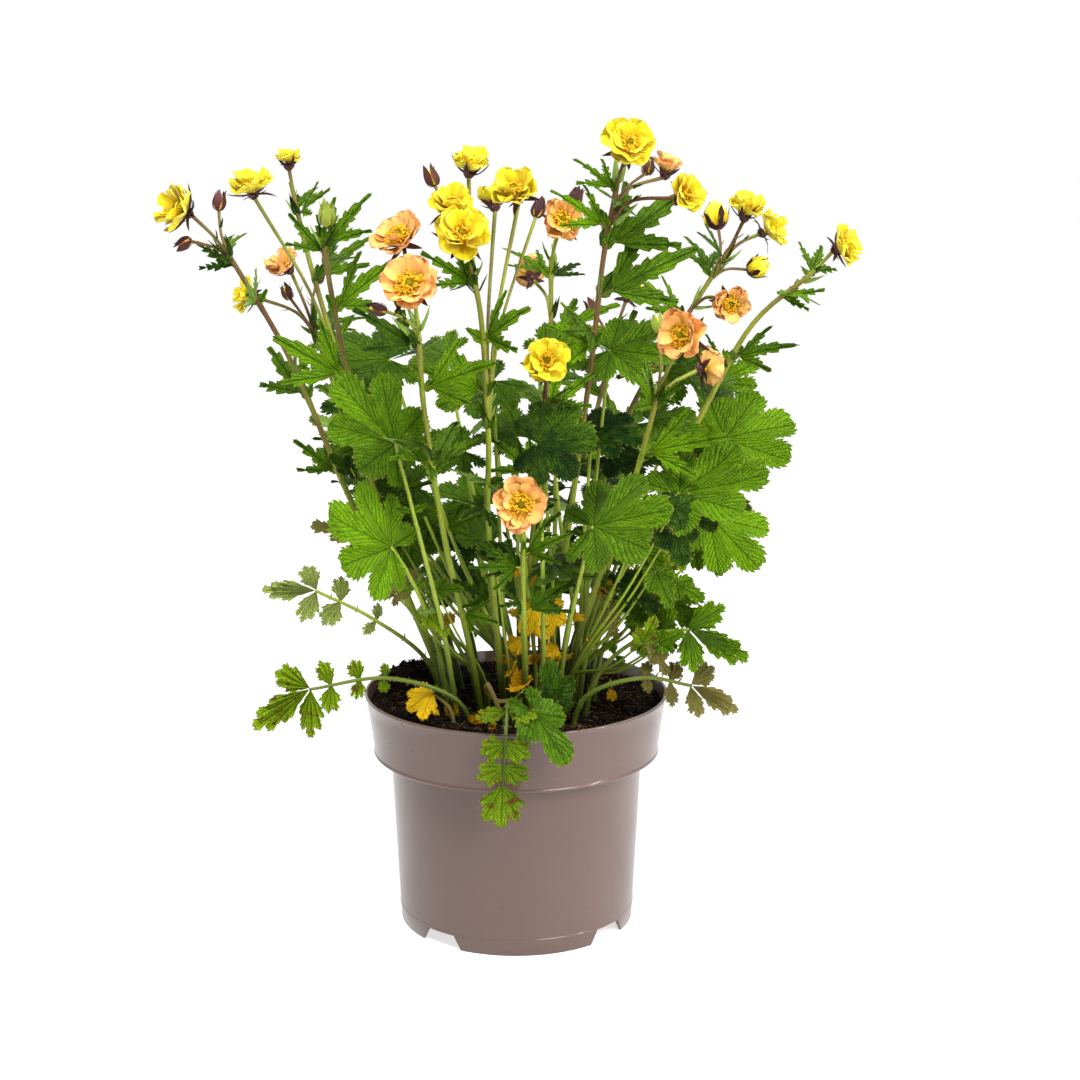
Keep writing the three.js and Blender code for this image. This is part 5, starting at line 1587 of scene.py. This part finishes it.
def crumbs():
    """Lumps, chips and fibres on the compost, and a little dirt on the rim and the wall."""
    rng = np.random.default_rng(41)
    piece = Piece()
    x, y = scattered(rng, LUMPS, 90)
    size = rng.gamma(2.2, 0.34, LUMPS)[:, None] * rng.uniform(0.5, 1.5, (LUMPS, 3)) + 0.2
    centres = np.stack([x, y, compost_height(x, y) + 0.6 + rng.uniform(0, 0.9, LUMPS)], 1)
    grains(piece, centres, np.minimum(size, LUMP_LARGEST), "crumbs", rng.uniform(-1, 0.45, LUMPS))
    x, y = scattered(rng, FIBRES, 88)
    start = np.stack([x, y, compost_height(x, y) + rng.uniform(0.6, 2.2, FIBRES)], 1)
    lay = units(rng.normal(0, 1, (FIBRES, 3)) * [1, 1, 0.28])
    end = start + lay * (rng.gamma(3, 1.1, (FIBRES, 1)) + 1)
    inside = np.hypot(end[:, 0], end[:, 1]) < 90
    rods(piece, start[inside], end[inside], 0.26, "crumbs", rng.uniform(-0.6, 1, inside.sum()))
    turn = rng.uniform(0, FULL_TURN, DIRT_GRAINS)
    on_wall = (turn > 2.4) * (turn < 4.6)
    level = POT_HEIGHT - 0.1 - 40 * rng.uniform(0, 1, DIRT_GRAINS) ** 2 * on_wall
    radius = RIM_RADIUS + 0.3 - (POT_HEIGHT - level) * 0.128
    grains(piece, ring(turn, radius, level), rng.uniform(0.15, 0.42, (DIRT_GRAINS, 3)), "crumbs",
           rng.uniform(-1, 0.2, DIRT_GRAINS))
    piece.make("compost_crumbs", "compost", crease=180)


def boolean_cut(piece, cutters):
    """Takes the cutters away from piece, and leaves it a plain mesh."""
    for cutter in cutters:
        modifier = piece.modifiers.new("cut", "BOOLEAN")
        modifier.operation = "DIFFERENCE"
        modifier.solver = "MANIFOLD"
        modifier.object = cutter
    graph = bpy.context.evaluated_depsgraph_get()
    mesh = bpy.data.meshes.new_from_object(piece.evaluated_get(graph))
    piece.modifiers.clear()
    old = piece.data
    piece.data = mesh
    bpy.data.meshes.remove(old)
    for cutter in cutters:
        bpy.data.objects.remove(cutter)


def prism(outline, low, high, place):
    """A cutter with a flat outline, pushed from low to high and then placed."""
    count = len(outline)
    points = [place(a, b, level) for level in (low, high) for a, b in outline]
    following = [(i + 1) % count for i in range(count)]
    sides = [(i, j, j + count, i + count) for i, j in enumerate(following)]
    faces = [tuple(range(count))[::-1], tuple(range(count, 2 * count)), *sides]
    mesh = bpy.data.meshes.new("cutter")
    mesh.from_pydata([[c * MM for c in point] for point in points], [], faces)
    return add_object("cutter", mesh)


def notch_cutter(turn):
    """A notch in the foot of the wall, between two feet."""

    def place(side, height, out):
        return (out * math.cos(turn) - side * math.sin(turn),
                out * math.sin(turn) + side * math.cos(turn), height)

    return prism(NOTCH, *NOTCH_DEPTH, place)


def drain_cutter(turn):
    """A round drain hole in the floor plate."""

    def place(x, y, height):
        return (x + DRAIN_RING_RADIUS * math.cos(turn), y + DRAIN_RING_RADIUS * math.sin(turn),
                height)

    hole = [(DRAIN_RADIUS * math.cos(a), DRAIN_RADIUS * math.sin(a)) for a in circle(DRAIN_SIDES)]
    return prism(hole, FLOOR_UNDERSIDE - 3, FLOOR_TOP + 3, place)


def pot():
    """The pot's wall, rim band, rolled lip, floor and feet, turned and then cut."""
    piece = Piece()
    lip = [[RIM_RADIUS + 0.02 + 0.42 * math.cos(a), POT_HEIGHT - 0.75 + 0.75 * math.sin(a)]
           for a in np.radians([-80, -50, -20, 10, 40, 65])]
    profile = [
        [0, FLOOR_UNDERSIDE], [60, FLOOR_UNDERSIDE], [71.2, FLOOR_UNDERSIDE], [72.3, 0.5], [72.6, 0],
        [73.8, 0], [BASE_RADIUS, 0.3], [74.45, 9.4], [74.75, 9.8], [74.85, 10.3], [74.62, 10.7],
        [76.2, 44], [77.9, 78], [79.3, 106], [NECK_RADIUS, RIM_LOW - 0.5], [79.9, RIM_LOW],
        [88.1, RIM_LOW], [88.5, 110.3], [89.1, 109.9], [89.8, 109.9], [90.3, 110.4], [90.3, 111.1],
        [89.9, 111.7], [89.75, 112.6], [91.6, 126], [93.4, 139], [94.4, 145.6], *lip,
        [94.6, POT_HEIGHT], [93.9, POT_HEIGHT], [93.6, 147.5], [88.1, 112.9], [78.1, 111.9],
        [73.1, FLOOR_TOP], [60, FLOOR_TOP], [0, FLOOR_TOP],
    ]
    turns = circle(POT_SEGMENTS)
    points = np.concatenate([ring(turns, *place) for place in profile])
    triangles = grid_triangles(len(profile), POT_SEGMENTS, closed=True)[:, ::-1]
    points, triangles, _, _ = welded(points, triangles, {})
    piece.add(points, triangles, "pot")
    body = piece.make("fine_pot", "pot_plastic", ["pot"])
    boolean_cut(body, [*map(notch_cutter, np.radians(NOTCH_TURNS)),
                       *map(drain_cutter, np.radians(DRAIN_TURNS))])
    body.data.shade_smooth()
    body.data.set_sharp_from_angle(angle=math.radians(POT_CREASE))


# Studio


CAMERA_LENS = 66.5
CAMERA_PLACE = (0.015, -1.213, 0.502)
CAMERA_TILT = 78

# Place, point it aims at, width, height and power of each lamp
LAMPS = {
    "key": [(1.0, -1.3, 1.3), (0, 0, 0.2), 0.8, 1.0, 30],
    "strip": [(1.64, -0.73, 0.75), (0, 0, 0.1), 0.15, 1.5, 16],
    "edge": [(-1.5, 0.5, 0.6), (0, 0, 0.15), 0.4, 1.4, 1.5],
    "top": [(-0.3, -0.7, 2.0), (0, 0, 0.3), 0.6, 0.6, 50],
}

# The backdrop is white on this side of the plant and dimmer on the other
BACKDROP_SIDE = (0.6, 0.8, 0)
BACKDROP_FADE = (-0.6, 0.55)
FRONT_GLOW = 0.3

FLOOR_REACH = 30
FLOOR_GREY = (0.45, 0.45, 0.46, 1)
FLOOR_GLOW = 0.68


def add_camera():
    data = bpy.data.cameras.new("camera")
    data.lens = CAMERA_LENS
    data.sensor_width = 36
    camera = add_object("camera", data)
    camera.location = CAMERA_PLACE
    camera.rotation_euler = (math.radians(CAMERA_TILT), 0, 0)
    bpy.context.scene.camera = camera


def add_light(name, place, aim, width, height, power):
    data = bpy.data.lights.new(name, "AREA")
    data.shape = "RECTANGLE"
    data.size = width
    data.size_y = height
    data.energy = power
    lamp = add_object(name, data)
    lamp.location = place
    lamp.rotation_euler = (Vector(aim) - Vector(place)).to_track_quat("-Z", "Y").to_euler()


def add_backdrop():
    """White light all round that dims towards the front, and colours shown as they are."""
    world = bpy.data.worlds.new("studio")
    world.use_nodes = True
    tree = world.node_tree
    background = tree.nodes["Background"].inputs
    background["Color"].default_value = (1, 1, 1, 1)
    place = tree.nodes.new("ShaderNodeTexCoord")
    depth = tree.nodes.new("ShaderNodeVectorMath")
    depth.operation = "DOT_PRODUCT"
    depth.inputs[1].default_value = BACKDROP_SIDE
    tree.links.new(place.outputs["Generated"], depth.inputs[0])
    fade = tree.nodes.new("ShaderNodeMapRange")
    fade.interpolation_type = "SMOOTHSTEP"
    for index, item in enumerate((*BACKDROP_FADE, FRONT_GLOW, 1.0)):
        fade.inputs[index + 1].default_value = item
    tree.links.new(depth.outputs["Value"], fade.inputs[0])
    tree.links.new(fade.outputs[0], background["Strength"])
    bpy.context.scene.world = world
    bpy.context.scene.view_settings.view_transform = "Standard"


def add_floor():
    """The white table under the pot, which glows a little."""
    shade = Shade("floor", 0.9, 0.1, emission_strength=FLOOR_GLOW)
    shade.surface.inputs["Base Color"].default_value = FLOOR_GREY
    shade.surface.inputs["Emission Color"].default_value = (1, 1, 1, 1)
    mesh = bpy.data.meshes.new("floor")
    corners = [(x * FLOOR_REACH, y * FLOOR_REACH, 0) for x, y in ((-1, -1), (1, -1), (1, 1), (-1, 1))]
    mesh.from_pydata(corners, [], [(0, 1, 2, 3)])
    mesh.materials.append(shade.material)
    floor = add_object("floor", mesh)


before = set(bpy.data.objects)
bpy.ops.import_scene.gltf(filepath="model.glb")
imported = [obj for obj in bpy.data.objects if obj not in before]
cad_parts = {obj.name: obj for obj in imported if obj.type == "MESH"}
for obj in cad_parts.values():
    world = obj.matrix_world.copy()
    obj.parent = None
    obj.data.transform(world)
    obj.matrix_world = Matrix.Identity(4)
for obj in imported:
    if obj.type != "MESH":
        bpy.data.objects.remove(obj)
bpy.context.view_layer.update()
add_camera()
SHADES = make_shades()
pot()
compost()
crumbs()
for stem_key, stem_spec in STEMS.items():
    flowering_stem(stem_key, stem_spec)
for leaf_name, leaf_spec in LEAVES.items():
    basal_leaf(leaf_name, leaf_spec)
inner_leaves()
small_leaves()
scraps()
for lamp_name, lamp in LAMPS.items():
    add_light(lamp_name, *lamp)
add_backdrop()
add_floor()
